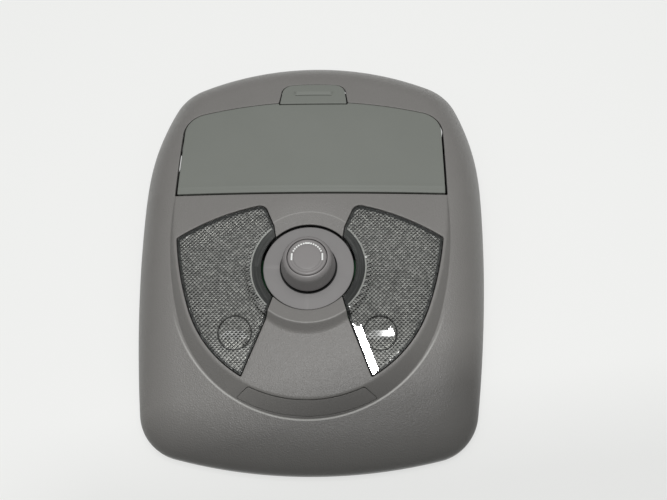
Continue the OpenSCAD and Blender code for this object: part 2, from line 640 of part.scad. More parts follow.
// Bulb with a wedge base, upright in its holder
module bulb() translate([bulb_x, bulb_y, 0]) {
    translate([0, 0, reflector_z + 3]) rotate_extrude() polygon(concat([[0, 0], [3, 0], [bulb_r, 3.5]],
        [for (i = [0:5]) [bulb_r * cos(i * 18), body_h - 12.5 - reflector_z - 3 + bulb_r * sin(i * 18)]]));
    translate([-3, -1, reflector_z - 1]) cube([6, 2, 4.2]);
}
module bulb_right() color([0.9, 0.9, 0.8]) bulb();
module bulb_left() color([0.9, 0.9, 0.8]) mirror([1, 0, 0]) bulb();
module bulb_holder() translate([bulb_x, bulb_y, 0]) difference() {
    union() {
        translate([0, 0, board_top]) cylinder(r = 8, h = reflector_z - 0.2 - board_top);
        translate([0, 0, board_top]) cylinder(r = 5.6, h = reflector_z + 2.8 - board_top);
    }
    translate([-3.1, -1.1, reflector_z - 1.1]) cube([6.2, 2.2, 10]);
}
module bulb_holder_right() color(dark) bulb_holder();
module bulb_holder_left() color(dark) mirror([1, 0, 0]) bulb_holder();

// Push switch under a lens's press mark
plunger_r = 2.4;
plunger_foot = board_top + 3.4;
module lamp_switch() difference() {
    translate([press_x - 6, press_y - 6, board_top]) cube([12, 12, reflector_z - 0.6 - board_top]);
    translate([press_x, press_y, board_top + 1.2]) cylinder(r = plunger_r + run_gap, h = 20);
}
module plunger() translate([press_x, press_y, plunger_foot])
    cylinder(r = plunger_r, h = face_z(press_x, press_y) - lens_t - 1 - plunger_foot);
module lamp_switch_right() color([0.2, 0.2, 0.22]) lamp_switch();
module lamp_switch_left() color([0.2, 0.2, 0.22]) mirror([1, 0, 0]) lamp_switch();
module plunger_right() color([0.85, 0.85, 0.82]) plunger();
module plunger_left() color([0.85, 0.85, 0.82]) mirror([1, 0, 0]) plunger();

socket_w = 30;
socket_l = 11;
socket_y = -98;
pin_z = 5.2;
module circuit_board() color([0.10, 0.32, 0.20]) difference() {
    translate([-board_w / 2, -8 - board_l, board_z]) cube([board_w, board_l, board_t]);
    for (s = [-1, 1]) translate([s * 34 - 2, -54, 0]) cube([4, 8, 20]);
}
module connector_socket() color([0.85, 0.84, 0.78]) difference() {
    union() {
        translate([-socket_w / 2, socket_y, 0.5]) cube([socket_w, socket_l, 15]);
        translate([-socket_w / 2, socket_y + socket_l - 1, board_top]) cube([socket_w, 5, 2]);
    }
    translate([-socket_w / 2 + 1.2, socket_y + 1.2, 0]) cube([socket_w - 2.4, socket_l - 2.4, 12.5]);
    pin_row(5, 20);
}
// Eight square pins in one row, from the height z
pin_w = 0.64;
module pin_row(z, h) for (i = [0:7])
    translate([(i - 3.5) * 3.2 - pin_w / 2, socket_y + socket_l / 2 - pin_w / 2, z]) cube([pin_w, pin_w, h]);
module connector_pins() color([0.8, 0.7, 0.4]) pin_row(pin_z, 11.2);

// Box behind the lid: back plate, four walls and the ears of the hinge
bin_hw = tray_w / 2 + bin_gap;
bin_y0 = tray_y - 2.5 - bin_wall;
swing_r = sqrt(pow(tray_y + tray_l - pivot_y, 2) + pow(pivot_z - tray_z, 2));
bin_y1 = pivot_y + swing_r + 1;
bin_wall_top = pivot_z + 0.4;
ear_gap = 0.6;
ear_in = arm_x - arm_w / 2 - ear_gap - bin_wall;
ear_out = arm_x + arm_w / 2 + ear_gap;
module hinge_ear(x) translate([x, 0, 0]) rotate([90, 0, 90]) linear_extrude(height = bin_wall)
    polygon([[bin_y0 + 1, bin_z], [bin_y0 + 1, bin_wall_top], [pivot_y + 5, pivot_z + eye_r],
        [pivot_y - eye_r - 0.2, pivot_z + eye_r], [pivot_y - eye_r - 0.2, pivot_z - 5],
        [bin_y0 - 10, bin_z]]);
module bin_housing() color(dark) difference() {
    union() {
        translate([-bin_hw - bin_wall, bin_y0, bin_z])
            cube([2 * (bin_hw + bin_wall), bin_y1 + bin_wall - bin_y0, bin_wall_top - bin_z]);
        for (p = bin_screw_xy) {
            translate([p[0], p[1], bin_z]) cylinder(r = 5, h = bin_wall);
            translate([min(p[0], sign(p[0]) * bin_hw), p[1] - 5, bin_z])
                cube([abs(p[0]) - bin_hw, 10, bin_wall]);
        }
        for (s = [-1, 1]) {
            hinge_ear(s * (ear_in + bin_wall / 2) - bin_wall / 2);
            hinge_ear(s * (ear_out + bin_wall / 2) - bin_wall / 2);
        }
    }
    translate([-bin_hw, bin_y0 + bin_wall, bin_top]) cube([2 * bin_hw, bin_y1 - bin_y0 - bin_wall, body_h]);
    for (s = [-1, 1]) translate([s * arm_x - arm_w / 2 - ear_gap, bin_y0 - 12, pivot_z - 23])
        cube([arm_w + 2 * ear_gap, bin_wall + 12.1, body_h]);
    for (p = bin_screw_xy) translate([p[0], p[1], 0]) cylinder(r = screw_r + 0.3, h = 10);
    translate([0, pivot_y, pivot_z]) rotate([0, 90, 0])
        cylinder(r = pivot_r + run_gap, h = body_w, center = true);
    for (i = [-2:2]) translate([i * 28 - 8, bin_y0 + 14, 0]) cube([16, 30, bin_z + bin_wall + 0.1]);
}

module pivot_pin() color(steel) translate([ear_in, pivot_y, pivot_z]) rotate([0, 90, 0]) {
    cylinder(r = pivot_r, h = ear_out + bin_wall - ear_in + 0.6);
    translate([0, 0, ear_out + bin_wall - ear_in + 0.4]) cylinder(r = pivot_r + 0.8, h = 1.2);
}
// Rotary damper on the left pivot: the rotor's shaft is the left hinge pin
damper_w = 5;
vane_r = 2.3;
module at_damper(x) translate([-x, pivot_y, pivot_z]) rotate([0, -90, 0]) children();
module damper_rotor() color([0.85, 0.85, 0.82]) at_damper(ear_in + 0.01) {
    cylinder(r = pivot_r, h = ear_out + bin_wall - ear_in + damper_w - 1);
    translate([0, 0, ear_out + bin_wall - ear_in + 0.9]) cylinder(r = vane_r, h = damper_w - 1.9);
}
module damper_body() color(dark) at_damper(ear_out + bin_wall) difference() {
    union() {
        cylinder(r = eye_r, h = damper_w);
        translate([-12, -2.4, 0]) cube([11, 4.8, 2]);
    }
    translate([0, 0, -1]) cylinder(r = pivot_r + run_gap, h = 4);
    translate([0, 0, 0.8]) cylinder(r = vane_r + run_gap, h = damper_w - 1.6);
}

// Lid: the face's skin inside the lid's outline, with four pads that carry the tray
pad_xy = [[60, 36], [-60, 36], [48, 70], [-48, 70], [0, 50]];
module lid_panel() color(grey) {
    difference() {
        intersection() {
            linear_extrude(height = body_h + 5) polygon(lid_points(0, 0));
            face_block(-90, 90, 16, 100, 0, lid_t, 10);
        }
        translate([-button_hw - button_gap, button_y - button_gap, 0])
            cube([button_w + 2 * button_gap, 10, 2 * body_h]);
    }
    for (p = pad_xy) translate([p[0], p[1], tray_top_z])
        cylinder(r = 3, h = face_z(p[0], p[1]) - 0.8 - tray_top_z);
}

module tray_shape(g) translate([0, tray_y, 0]) {
    hw = tray_w / 2 - g;
    polygon(concat([[-hw, g], [hw, g]],
        [for (s = [1, -1]) for (i = [0:6]) let (a = s > 0 ? i * 15 : 90 + i * 15)
            [s * (hw + g - tray_corner_r), tray_l - tray_corner_r] + (tray_corner_r - g) * unit(a)]));
}
module glasses_tray() color(dark) difference() {
    translate([0, 0, tray_z]) linear_extrude(height = tray_top_z - tray_z) tray_shape(0);
    translate([0, 0, tray_z - 1]) linear_extrude(height = tray_top_z - tray_z - tray_wall + 1)
        tray_shape(tray_wall);
}
module tray_liner() color([0.1, 0.1, 0.1]) translate([0, 0, tray_top_z - tray_wall - liner_t])
    linear_extrude(height = liner_t) tray_shape(tray_wall + 0.3);

// Swan-neck arm from the pivot, down under the tongue and up to the tray's near wall
function turned(v) = [-v[1], v[0]] / reach(v);
function side_of(pts, i, r) = let (n = len(pts) - 1, before = turned(pts[max(1, i)] - pts[max(0, i - 1)]),
    after = turned(pts[min(n, i + 1)] - pts[min(n - 1, i)]), m = before + after) pts[i] + 2 * r * m / (m * m);
module swept(pts, r) polygon(concat([for (i = [0:len(pts) - 1]) side_of(pts, i, -r)],
    [for (i = [len(pts) - 1:-1:0]) side_of(pts, i, r)]));
arm_r = 2.2;
arm_end = tray_y - pivot_y;
neck = [[0, 0], [7.2, -13], [16, -15.5], [arm_end, -11]];
module hinge_arm(x) translate([x - arm_w / 2, pivot_y, pivot_z]) rotate([90, 0, 90]) difference() {
    union() {
        cylinder(r = eye_r, h = arm_w);
        linear_extrude(height = arm_w) swept(neck, arm_r);
        translate([arm_end - 2, -20, 0]) cube([2, 16, arm_w]);
    }
    translate([0, 0, -1]) cylinder(r = pivot_r + run_gap, h = arm_w + 2);
    translate([arm_end, -30, -1]) cube([10, 40, arm_w + 2]);
}
module hinge_arm_right() color(steel) hinge_arm(arm_x);
module hinge_arm_left() color(steel) hinge_arm(-arm_x);

// Hook of the lid and the latch that holds it
striker_y = lid_top_y - 6.8;
lip_z = hook_z - 2.3;
module lid_striker() color(dark) translate([-6, 0, 0]) rotate([90, 0, 90]) linear_extrude(height = 12)
    polygon([[striker_y, face_z(0, striker_y) - lid_t - 0.05], [striker_y, lip_z - 2],
        [striker_y + 4.6, lip_z - 2], [striker_y + 4.6, lip_z - 0.3], [striker_y + 2.2, lip_z - 0.3],
        [striker_y + 2.2, face_z(0, striker_y + 2.2) - lid_t - 0.05]]);
bumper_y = 60;
module lid_bumpers() color([0.08, 0.08, 0.08]) for (s = [-1, 1])
    translate([s * (bin_hw + bin_wall / 2), bumper_y, bin_wall_top])
        cylinder(r = 1, h = face_z(bin_hw, bumper_y) - lid_t - 0.45 - bin_wall_top);

// Slanted blade of the button that pushes the hook away from the lid as the button goes down
blade_y = stem_y;
function slant(y0, y1, z0, z1) = [[y0 + z0 - hook_z, z0], [y1 + z0 - hook_z, z0],
    [y1 + z1 - hook_z, z1], [y0 + z1 - hook_z, z1]];
stem_z = hook_z - 6.8;
module latch_button() color(grey) {
    intersection() {
        linear_extrude(height = body_h + 5) polygon(button_points(0));
        face_block(-button_hw - 4.1, button_hw + 4.1, button_y - 5.5, button_top + 5.5, -0.2, 2.4, 8);
    }
    translate([-13, button_y + 8.2, face_z(0, button_y + 8.8) - 0.4]) cube([26, 1.2, 1.1]);
    for (s = [-1, 1]) translate([s * (stem_x + 0.3) - 1.6, stem_y - 4, stem_z])
        cube([3.2, 8, face_z(stem_x + 1.9, stem_y + 4) - 1 - stem_z]);
    translate([-4, 0, 0]) rotate([90, 0, 90]) linear_extrude(height = 8)
        polygon(slant(blade_y, blade_y + 2, hook_z - hook_t + latch_travel, face_z(0, stem_y + 4) - 1));
}
module latch_hook() color(dark) difference() {
    translate([-hook_hw, hook_tip_y, hook_z - hook_t]) cube([2 * hook_hw, 13.6, hook_t]);
    translate([-4 - clear, 0, 0]) rotate([90, 0, 90]) linear_extrude(height = 8 + 2 * clear)
        polygon(slant(blade_y - clear * 1.42, blade_y + 2 + clear * 1.42, hook_z - hook_t - 4, hook_z + 4));
    translate([-2 * hook_hw, striker_y, 0]) cube([4 * hook_hw, hook_tip_y + 2.6 - striker_y, lip_z]);
}
hook_tip_y = pivot_y + sqrt(pow(striker_y + 4.6 - pivot_y, 2) + pow(pivot_z - lip_z, 2)) + clear;
guide_z = hook_z - 18.8;
guide_floor = 2;
stem_x = guide_w / 2 - 4.9;
module latch_guide() color(dark) difference() {
    union() {
        translate([-guide_w / 2, guide_y, guide_z]) cube([guide_w, guide_l, guide_floor]);
        for (s = [-1, 1]) {
            translate([s * (guide_w / 2 - 1.4) - 1.2, guide_y, guide_z])
                cube([2.4, guide_l, guide_ear_z + 2 - guide_z]);
            translate([s * (hook_hw + clear + 0.75) - 0.75, guide_y, guide_z])
                cube([1.5, guide_l, hook_z - 1 - guide_z]);
            translate([s * (guide_w / 2 + 3.6) - 6.2, stem_y - 5, guide_ear_z]) cube([12.4, 10, 2]);
            translate([s * (guide_w / 2 + 8), stem_y, guide_ear_z]) cylinder(r = 5, h = 2);
        }
        translate([-hook_hw - 1, guide_y, guide_z])
            cube([2 * hook_hw + 2, guide_l, hook_z - hook_t - clear - guide_z]);
    }
    for (p = guide_screw_xy) translate([p[0], p[1], 0]) cylinder(r = screw_r + 0.3, h = 60);
}

// Coil spring as a tube swept along a helix
spring_turns = 4;
spring_wire = 0.35;
spring_r = 1.9;
module coil(z0, z1) {
    steps = 9 * spring_turns;
    ring = function (k) let (a = 360 * k / 9, z = z0 + spring_wire + (z1 - z0 - 2 * spring_wire) * k / steps)
        [for (j = [0:5]) let (r = spring_r + spring_wire * cos(j * 60)) [r * cos(a), r * sin(a),
            z + spring_wire * sin(j * 60)]];
    skin([for (k = [0:steps]) ring(k)]);
}
module latch_springs() color(steel) for (s = [-1, 1]) translate([s * stem_x, stem_y, 0])
    coil(guide_z + guide_floor + 0.05, stem_z - 0.05);

// Pan-head screws, heads on the back side
module pan_screw(p, z, len) translate([p[0], p[1], z]) {
    translate([0, 0, -1.4]) cylinder(r = screw_r * 2, h = 1.4);
    cylinder(r = screw_r, h = len);
}
module frame_screws() color(steel) {
    for (p = frame_screw_xy) pan_screw(p, frame_z, 12);
    for (p = bin_screw_xy) pan_screw(p, bin_z, 12);
    for (p = guide_screw_xy) pan_screw(p, guide_ear_z, 5);
}
// Sheet-metal spring clips that grip the roof's frame
module mounting_clips() color(steel) for (s = [-1, 1]) translate([s * 50 - 6, bin_y1 + bin_wall, 0])
    rotate([90, 0, 90]) linear_extrude(height = 12)
        polygon([[0, 3], [0.8, 3], [0.8, 16], [3.4, 16], [5.6, 10], [3.8, 5], [4.6, 4.6], [6.5, 10],
            [4, 16.8], [0, 16.8]]);

shell();
rear_frame();
screw_cover();
switch_bezel();
switch_body();
knob();
knob_cap();
knob_shaft();
reflector_left();
reflector_right();
bulb_left();
bulb_right();
bulb_holder_left();
bulb_holder_right();
lamp_switch_left();
lamp_switch_right();
plunger_left();
plunger_right();
lens_left();
lens_right();
circuit_board();
connector_socket();
connector_pins();
bin_housing();
pivot_pin();
damper_body();
damper_rotor();
lid_panel();
glasses_tray();
tray_liner();
hinge_arm_left();
hinge_arm_right();
lid_striker();
lid_bumpers();
latch_button();
latch_hook();
latch_springs();
latch_guide();
frame_screws();
mounting_clips();
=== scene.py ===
"""Overhead console of a car, dressed: moulded shell, lamps under prism lenses, rotary knob, glasses-holder lid."""
import math

import bmesh
import bpy
import numpy as np
from mathutils import Matrix, Vector
from mathutils.geometry import delaunay_2d_cdt


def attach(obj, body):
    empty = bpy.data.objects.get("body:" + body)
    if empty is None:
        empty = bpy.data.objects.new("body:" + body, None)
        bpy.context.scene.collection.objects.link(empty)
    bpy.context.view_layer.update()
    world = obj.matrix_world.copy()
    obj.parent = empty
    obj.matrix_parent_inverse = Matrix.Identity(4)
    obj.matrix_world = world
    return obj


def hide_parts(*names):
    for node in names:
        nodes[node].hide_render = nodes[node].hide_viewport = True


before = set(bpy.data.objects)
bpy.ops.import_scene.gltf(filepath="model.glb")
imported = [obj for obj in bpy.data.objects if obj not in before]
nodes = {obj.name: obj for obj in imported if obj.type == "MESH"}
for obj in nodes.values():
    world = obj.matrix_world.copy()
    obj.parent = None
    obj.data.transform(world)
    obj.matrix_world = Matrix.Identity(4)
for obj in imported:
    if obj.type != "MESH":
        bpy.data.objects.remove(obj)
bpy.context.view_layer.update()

# Sizes in millimetres, as the solids have them
BODY_W, BODY_L, BODY_H, WALL, LIP_H = 217.0, 278.0, 40.0, 2.5, 4.0
ROLL_W, ROLL_POWER, WIDEST_Y = 26.0, 2.3, 34.0
SIDE_R_TOP, SIDE_R_BOTTOM, CORNER_R_TOP, CORNER_R_BOTTOM = 200.0, 880.0, 36.0, 29.0
END_R_TOP, END_R_BOTTOM = 174.0, 317.0
CROWN_RY, CROWN_RX, CROWN_Y = 700.0, 1450.0, 29.0
KNOB_Y, TONGUE_R, FLANK_R, FLANK_A = -26.0, 75.5, 200.0, 20.0
STEP_H, STEP_RUN = 8.0, 10.0
BEZEL_R, BEZEL_Z, BEZEL_T, BEZEL_GAP = 26.6, 36.0, 2.2, 0.7
CREST_R, CREST_Z, CREST_BAND = 35.0, 38.8, 0.9
LENS_BORDER, LENS_TOP_R, LENS_TOP_DROP, LENS_T, LENS_GAP = 1.9, 144.0, 101.0, 2.2, 0.5
LENS_INNER_X, LENS_WAIST_X, LENS_TIP_X, LENS_INNER_ROUND = 25.0, 19.7, 36.3, 5.4
PRESS_X, PRESS_Y, PRESS_R, PRESS_DEPTH = 41.3, -65.0, 9.7, 1.2
LID_W, LID_Y, LID_TOP_Y, LID_TOP_R, LID_CORNER_R, LID_T = 164.8, 23.0, 92.8, 290.0, 15.0, 1.8
LID_HINGE_GAP, LID_SIDE_GAP, LID_EDGE_GAP = 1.4, 1.25, 0.4
BUTTON_W, BUTTON_Y, BUTTON_L, BUTTON_GAP = 43.8, 91.5, 17.0, 0.5
BUTTON_SHOULDER_Y, BUTTON_CORNER_R, BUTTON_CORNER = BUTTON_Y + 6.5, 7.4, (BUTTON_W / 2 - 8.5, BUTTON_Y + BUTTON_L - 8)
KNOB_H, KNOB_Z = 13.0, 36.6
HALF_W, HALF_L = BODY_W / 2, BODY_L / 2
DISH_R = BEZEL_R + BEZEL_GAP
STEP_TOP = LID_Y + 1
STEP_LEN = STEP_TOP - KNOB_Y + TONGUE_R + STEP_RUN
FOOT_GROOVE, FOOT_HIGHLIGHT_R, FOOT_HIGHLIGHT_LEAN = 0.25, 85.2, 0.0425
PRISM_PITCH, PRISM_DEPTH, SHADE_BORDER_W, MASK_R = 1.68, 0.42, 1.5, 34.2
RIDGE_Y, RIDGE_H, RIDGE_BOW, BEAD_H, HINGE_DIP = BUTTON_Y + 7.9, 1.3, 900, 0.14, 0.34
STRIP_W, STRIP_TOP_Y, STRIP_LEAN_X, STRIP_LEAN_Y, STRIP_BOW = 5.6, KNOB_Y - 33.6, 0.025, 0.215, 0.0005
SCREW_X = HALF_W - 19.5
MM = 0.001


def unit(a):
    """Unit vector at an angle in degrees."""
    return np.array([math.cos(math.radians(a)), math.sin(math.radians(a))])


def angle_of(p):
    return math.degrees(math.atan2(p[1], p[0]))


FLANK_C = (TONGUE_R - FLANK_R) * unit(-FLANK_A)


# ---------------------------------------------------------------- outline and face of the shell
def quarter(side_r, corner_r, end_r, length):
    """Side, corner and end arc of a quarter of the outline: centre, radius, first and last angle."""
    p = np.array([side_r - HALF_W, length - end_r])
    a, b, m = side_r - corner_r, end_r - corner_r, float(np.hypot(*(side_r - HALF_W, length - end_r)))
    s = angle_of(p) + math.degrees(math.acos((a * a + m * m - b * b) / (2 * a * m)))
    corner = np.array([HALF_W - side_r, 0]) + a * unit(s)
    e = angle_of(a * unit(s) - p)
    return [((HALF_W - side_r, 0), side_r, 0, s), (tuple(corner), corner_r, s, e),
        ((0, length - end_r), end_r, e, 90)]


UPPER = quarter(SIDE_R_TOP, CORNER_R_TOP, END_R_TOP, HALF_L - WIDEST_Y)
LOWER = quarter(SIDE_R_BOTTOM, CORNER_R_BOTTOM, END_R_BOTTOM, HALF_L + WIDEST_Y)


def outline_samples():
    """Outline once round from the widest point on the right, as x, y and the outward normal."""
    def run(arcs, flip):
        out = []
        for (cx, cy), r, a0, a1 in arcs:
            n = max(6, int(math.radians(a1 - a0) * r / 1.6))
            for i in range(n):
                u = unit(a0 + (a1 - a0) * i / n)
                out.append((cx + r * u[0], WIDEST_Y + flip * (cy + r * u[1]), u[0], flip * u[1]))
        return out
    up, down = run(UPPER, 1), run(LOWER, -1)
    left = [(-x, y, -nx, ny) for x, y, nx, ny in reversed(up[1:])]
    left_down = [(-x, y, -nx, ny) for x, y, nx, ny in down]
    loop = up + [(0, HALF_L, 0, 1)] + left + left_down + [(0, -HALF_L, 0, -1)] + list(reversed(down[1:]))
    return np.array(loop)


RIM = outline_samples()


def rim_depth(x, y):
    """Distance of a point inwards from the outline."""
    ax = np.abs(x)
    depth = np.full(ax.shape, 60.0)
    for arcs, flip in ((UPPER, 1), (LOWER, -1)):
        ay = (y - WIDEST_Y) * flip
        for (cx, cy), r, a0, a1 in arcs:
            vx, vy = ax - cx, ay - cy
            a = np.degrees(np.arctan2(vy, vx))
            hit = (ay >= -1e-6) & (a >= a0 - 1e-4) & (a <= a1 + 1e-4)
            depth = np.where(hit, np.minimum(depth, r - np.hypot(vx, vy)), depth)
    return depth


def face(x, y):
    """Crowned face that the lid, the tongue and the lenses share."""
    return BODY_H - (y - CROWN_Y) ** 2 / (2 * CROWN_RY) - x * x / (2 * CROWN_RX)


def step_share(y):
    return np.clip((STEP_TOP - y) / STEP_LEN, 0, 1)


def step_height(y):
    return STEP_H * step_share(y) ** 0.8


def step_run(y):
    """Length over which the step falls."""
    h = step_height(y)
    return (0.4 + (STEP_RUN - 0.4) * step_share(y)) * h / (h + 1) + 0.35


def tongue_out(x, y):
    """Distance of a point outwards from the tongue's edge."""
    ax, ay = np.abs(x), y - KNOB_Y
    below = np.degrees(np.arctan2(ay, ax)) < -FLANK_A
    return np.where(below, np.hypot(ax, ay) - TONGUE_R, np.hypot(ax - FLANK_C[0], ay - FLANK_C[1]) - FLANK_R)


def eased(u, w):
    """0 below 0 and u above, rounded over w each way."""
    return np.where(u <= -w, 0.0, np.where(u >= w, u, (u + w) ** 2 / (4 * w)))


def blend_max(a, b, k):
    h = np.clip(0.5 + 0.5 * (a - b) / k, 0, 1)
    return b + (a - b) * h + k * h * (1 - h)


def blend_min(a, b, k):
    return -blend_max(-a, -b, k)


DISH_IN_Z = BEZEL_Z + 1.5
DISH_SLOPE = (CREST_Z - 0.21 - DISH_IN_Z) / (CREST_R - 0.8 - DISH_R)


def skin(x, y, inset=0.0):
    """Height of the console's outer skin, or of its inner skin for an inset of one wall."""
    s = np.clip((rim_depth(x, y) - inset) / (ROLL_W - inset), 0, 1)
    power = ROLL_POWER - 0.42 * np.clip((y - 60) / 70, 0, 1)
    roll = (1 - (1 - s) ** power) ** (1 / power)
    h = step_height(y)
    dome = LIP_H + (face(x, y) - h - LIP_H) * roll - inset
    run = step_run(y)
    u = (tongue_out(x, y) + 0.8 * inset) / run
    fall = eased(u, np.minimum(0.42, 0.8 / run)) - eased(u - 1, np.minimum(0.42, 1.3 / run))
    z = dome + h * (1 - fall)
    if not inset:
        e = (tongue_out(x, y) - run - 0.1) / 0.55
        z = z - FOOT_GROOVE * np.clip(h / 3.0, 0, 1) * np.exp(-e * e)
    r = np.hypot(x, y - KNOB_Y)
    cone = DISH_IN_Z + (r - DISH_R) * DISH_SLOPE - inset
    slope = CREST_Z - 0.3 - (r - CREST_R - 0.9) * 1.3 - inset
    near = r < 52
    return np.where(near, blend_min(cone, blend_max(z, slope, 1.1), 0.9), z)


def skin_at(x, y, inset=0.0):
    """Height of the skin at one point."""
    return float(skin(np.array([x]), np.array([y]), inset)[0])


# ---------------------------------------------------------------- loops
def resample(loop, step):
    """Closed loop with no segment longer than step."""
    out = []
    for a, b in zip(loop, np.roll(loop, -1, axis=0)):
        n = max(1, int(math.ceil(np.hypot(*(b - a)) / step)))
        out += [a + (b - a) * i / n for i in range(n)]
    return np.array(out)


def softened(loop, r, limit=24):
    """Closed loop with each corner sharper than limit degrees rounded over a length r on both sides."""
    loop = resample(np.array(loop, float), min(0.4, r / 2))
    seg = np.roll(loop, -1, axis=0) - loop
    heading = np.degrees(np.arctan2(seg[:, 1], seg[:, 0]))
    turn = (heading - np.roll(heading, 1) + 180) % 360 - 180
    length = np.hypot(seg[:, 0], seg[:, 1])
    at = np.concatenate([[0], np.cumsum(length)[:-1]])
    total = length.sum()
    corners = [i for i in range(len(loop)) if abs(turn[i]) > limit]

    def point(s):
        s %= total
        i = int(np.searchsorted(at, s, side="right")) - 1
        return loop[i] + seg[i] * (s - at[i]) / length[i]

    out = []
    for i, p in enumerate(loop):
        gap = [min(abs(at[i] - at[c]), total - abs(at[i] - at[c])) for c in corners]
        if i in corners:
            a, b = point(at[i] - r), point(at[i] + r)
            out += [(1 - t) ** 2 * a + 2 * t * (1 - t) * p + t * t * b for t in np.linspace(0, 1, 7)]
        elif not gap or min(gap) > r + 0.05:
            out.append(p)
    return np.array(out)


def thinned(loop, step):
    """Loop with points closer than step dropped where the loop runs straight."""
    out = [loop[0]]
    for i in range(1, len(loop)):
        a, b, c = out[-1], loop[i], loop[(i + 1) % len(loop)]
        turn = abs((angle_of(c - b) - angle_of(b - a) + 180) % 360 - 180)
        if np.hypot(*(b - a)) >= step or turn > 4:
            out.append(b)
    return np.array(out)


def offset(loop, d):
    """Loop moved outwards by d, for a counter-clockwise loop."""
    before, after = loop - np.roll(loop, 1, axis=0), np.roll(loop, -1, axis=0) - loop
    n1 = np.stack([before[:, 1], -before[:, 0]], 1) / np.hypot(before[:, 0], before[:, 1])[:, None]
    n2 = np.stack([after[:, 1], -after[:, 0]], 1) / np.hypot(after[:, 0], after[:, 1])[:, None]
    n = n1 + n2
    n = n / np.maximum((n * n).sum(1) / 2, 0.4)[:, None]
    return loop + d * n


def facing(loop):
    """The loop, counter-clockwise."""
    x, y = loop[:, 0], loop[:, 1]
    return loop if (x * np.roll(y, -1) - np.roll(x, -1) * y).sum() > 0 else loop[::-1]


def arc(centre, r, a0, a1, step=0.9):
    n = max(2, int(abs(math.radians(a1 - a0)) * r / step))
    return [np.array(centre) + r * unit(a0 + (a1 - a0) * i / n) for i in range(n + 1)]


def rings_about(centre, radii, a0, a1, step):
    """Points at every step of angle on circles round a centre."""
    return [r * unit(a) + centre for r in radii for a in np.arange(a0, a1, step)]


def mirrored(pts):
    """The points on the other side, in the opposite order."""
    return [np.array([-p[0], p[1]]) for p in reversed(pts)]


def meet(c, r, d, q):
    """Right-hand crossing of two circles."""
    v = d - c
    m = float(np.hypot(*v))
    k = (r * r - q * q + m * m) / (2 * m)
    return c + k * v / m + math.sqrt(r * r - k * k) * np.array([-v[1], v[0]]) / m


def button_end(g):
    """Right half of the button's far edge."""
    return [np.array([x, BUTTON_Y + BUTTON_L + g - 0.1 - 0.55 * (x / 13.0) ** 2]) for x in (11, 8, 5, 2.5, 0)]


def button_loop():
    hw = BUTTON_W / 2
    half = [np.array([hw, BUTTON_Y]), np.array([hw - 0.8, BUTTON_SHOULDER_Y])] \
        + arc(BUTTON_CORNER, BUTTON_CORNER_R, 14, 82, 0.7) + button_end(0)
    return facing(softened(half + mirrored(half[:-1]), 0.9))


def cover_loop(g):
    """Crescent in the step, its ends slanted."""
    inner, outer = TONGUE_R + 0.9 - g, TONGUE_R + 7.95 + 0.3 * g
    wide, narrow = 28.3 + g * 0.4, 25.0 + g * 0.4
    pts = arc((0, KNOB_Y), outer, -90 - wide, -90 + wide) + arc((0, KNOB_Y), inner, -90 + narrow, -90 - narrow)
    return facing(softened(pts, 1.2))


def inside(pts, loop):
    """Which points lie in a loop."""
    hit = np.zeros(len(pts), bool)
    x, y = pts[:, 0], pts[:, 1]
    for (x0, y0), (x1, y1) in zip(loop, np.roll(loop, -1, axis=0)):
        if y0 != y1:
            hit ^= ((y0 > y) != (y1 > y)) & (x < (x1 - x0) * (y - y0) / (y1 - y0) + x0)
    return hit


def edge_gap(pts, loops, reach=2.0):
    """Distance to the nearest of the loops, exact within reach and large beyond it."""
    best = np.full(len(pts), 1e3)
    for loop in loops:
        a, b = loop, np.roll(loop, -1, axis=0)
        lo, hi = loop.min(0) - reach, loop.max(0) + reach
        near = np.where(((pts >= lo) & (pts <= hi)).all(1))[0]
        for part in np.array_split(near, max(1, len(near) // 4000)):
            p = pts[part][:, None]
            d = b - a
            t = np.clip(((p - a) * d).sum(2) / (d * d).sum(1), 0, 1)
            q = a + t[..., None] * d
            best[part] = np.minimum(best[part], np.sqrt(((p - q) ** 2).sum(2)).min(1))
    return best


def rounding(gap, r):
    """Drop of a surface at a distance from an edge that is rounded to r."""
    e = np.clip(r - gap, 0, r)
    return r - np.sqrt(np.maximum(r * r - e * e, 0))


FILLET_STEPS = (0.035, 0.12, 0.29, 0.55, 1.0)


# ---------------------------------------------------------------- meshes
def triangles(points, loops, keep, edges=()):
    """Delaunay triangles over points, edges between them and closed loops, kept where keep allows their middles."""
    verts, edges = list(points), list(edges)
    for loop in loops:
        base = len(verts)
        verts += list(loop)
        edges += [(base + i, base + (i + 1) % len(loop)) for i in range(len(loop))]
    out = delaunay_2d_cdt([Vector(v) for v in verts], edges, [], 0, 1e-5)
    v = np.array([tuple(p) for p in out[0]])
    f = np.array([t for t in out[2] if len(t) == 3])
    a, b, c = v[f[:, 0]], v[f[:, 1]], v[f[:, 2]]
    area = (b[:, 0] - a[:, 0]) * (c[:, 1] - a[:, 1]) - (b[:, 1] - a[:, 1]) * (c[:, 0] - a[:, 0])
    f = np.where(area[:, None] > 0, f, f[:, ::-1])
    ok = keep((a + b + c) / 3) & (np.abs(area) > 1e-9)
    return v, f[ok]


def border_edges(f):
    """Edges of the triangles that only one of them has, in its direction."""
    e = np.concatenate([f[:, [0, 1]], f[:, [1, 2]], f[:, [2, 0]]])
    seen = {(a, b) for a, b in e.tolist()}
    return np.array([(a, b) for a, b in seen if (b, a) not in seen])


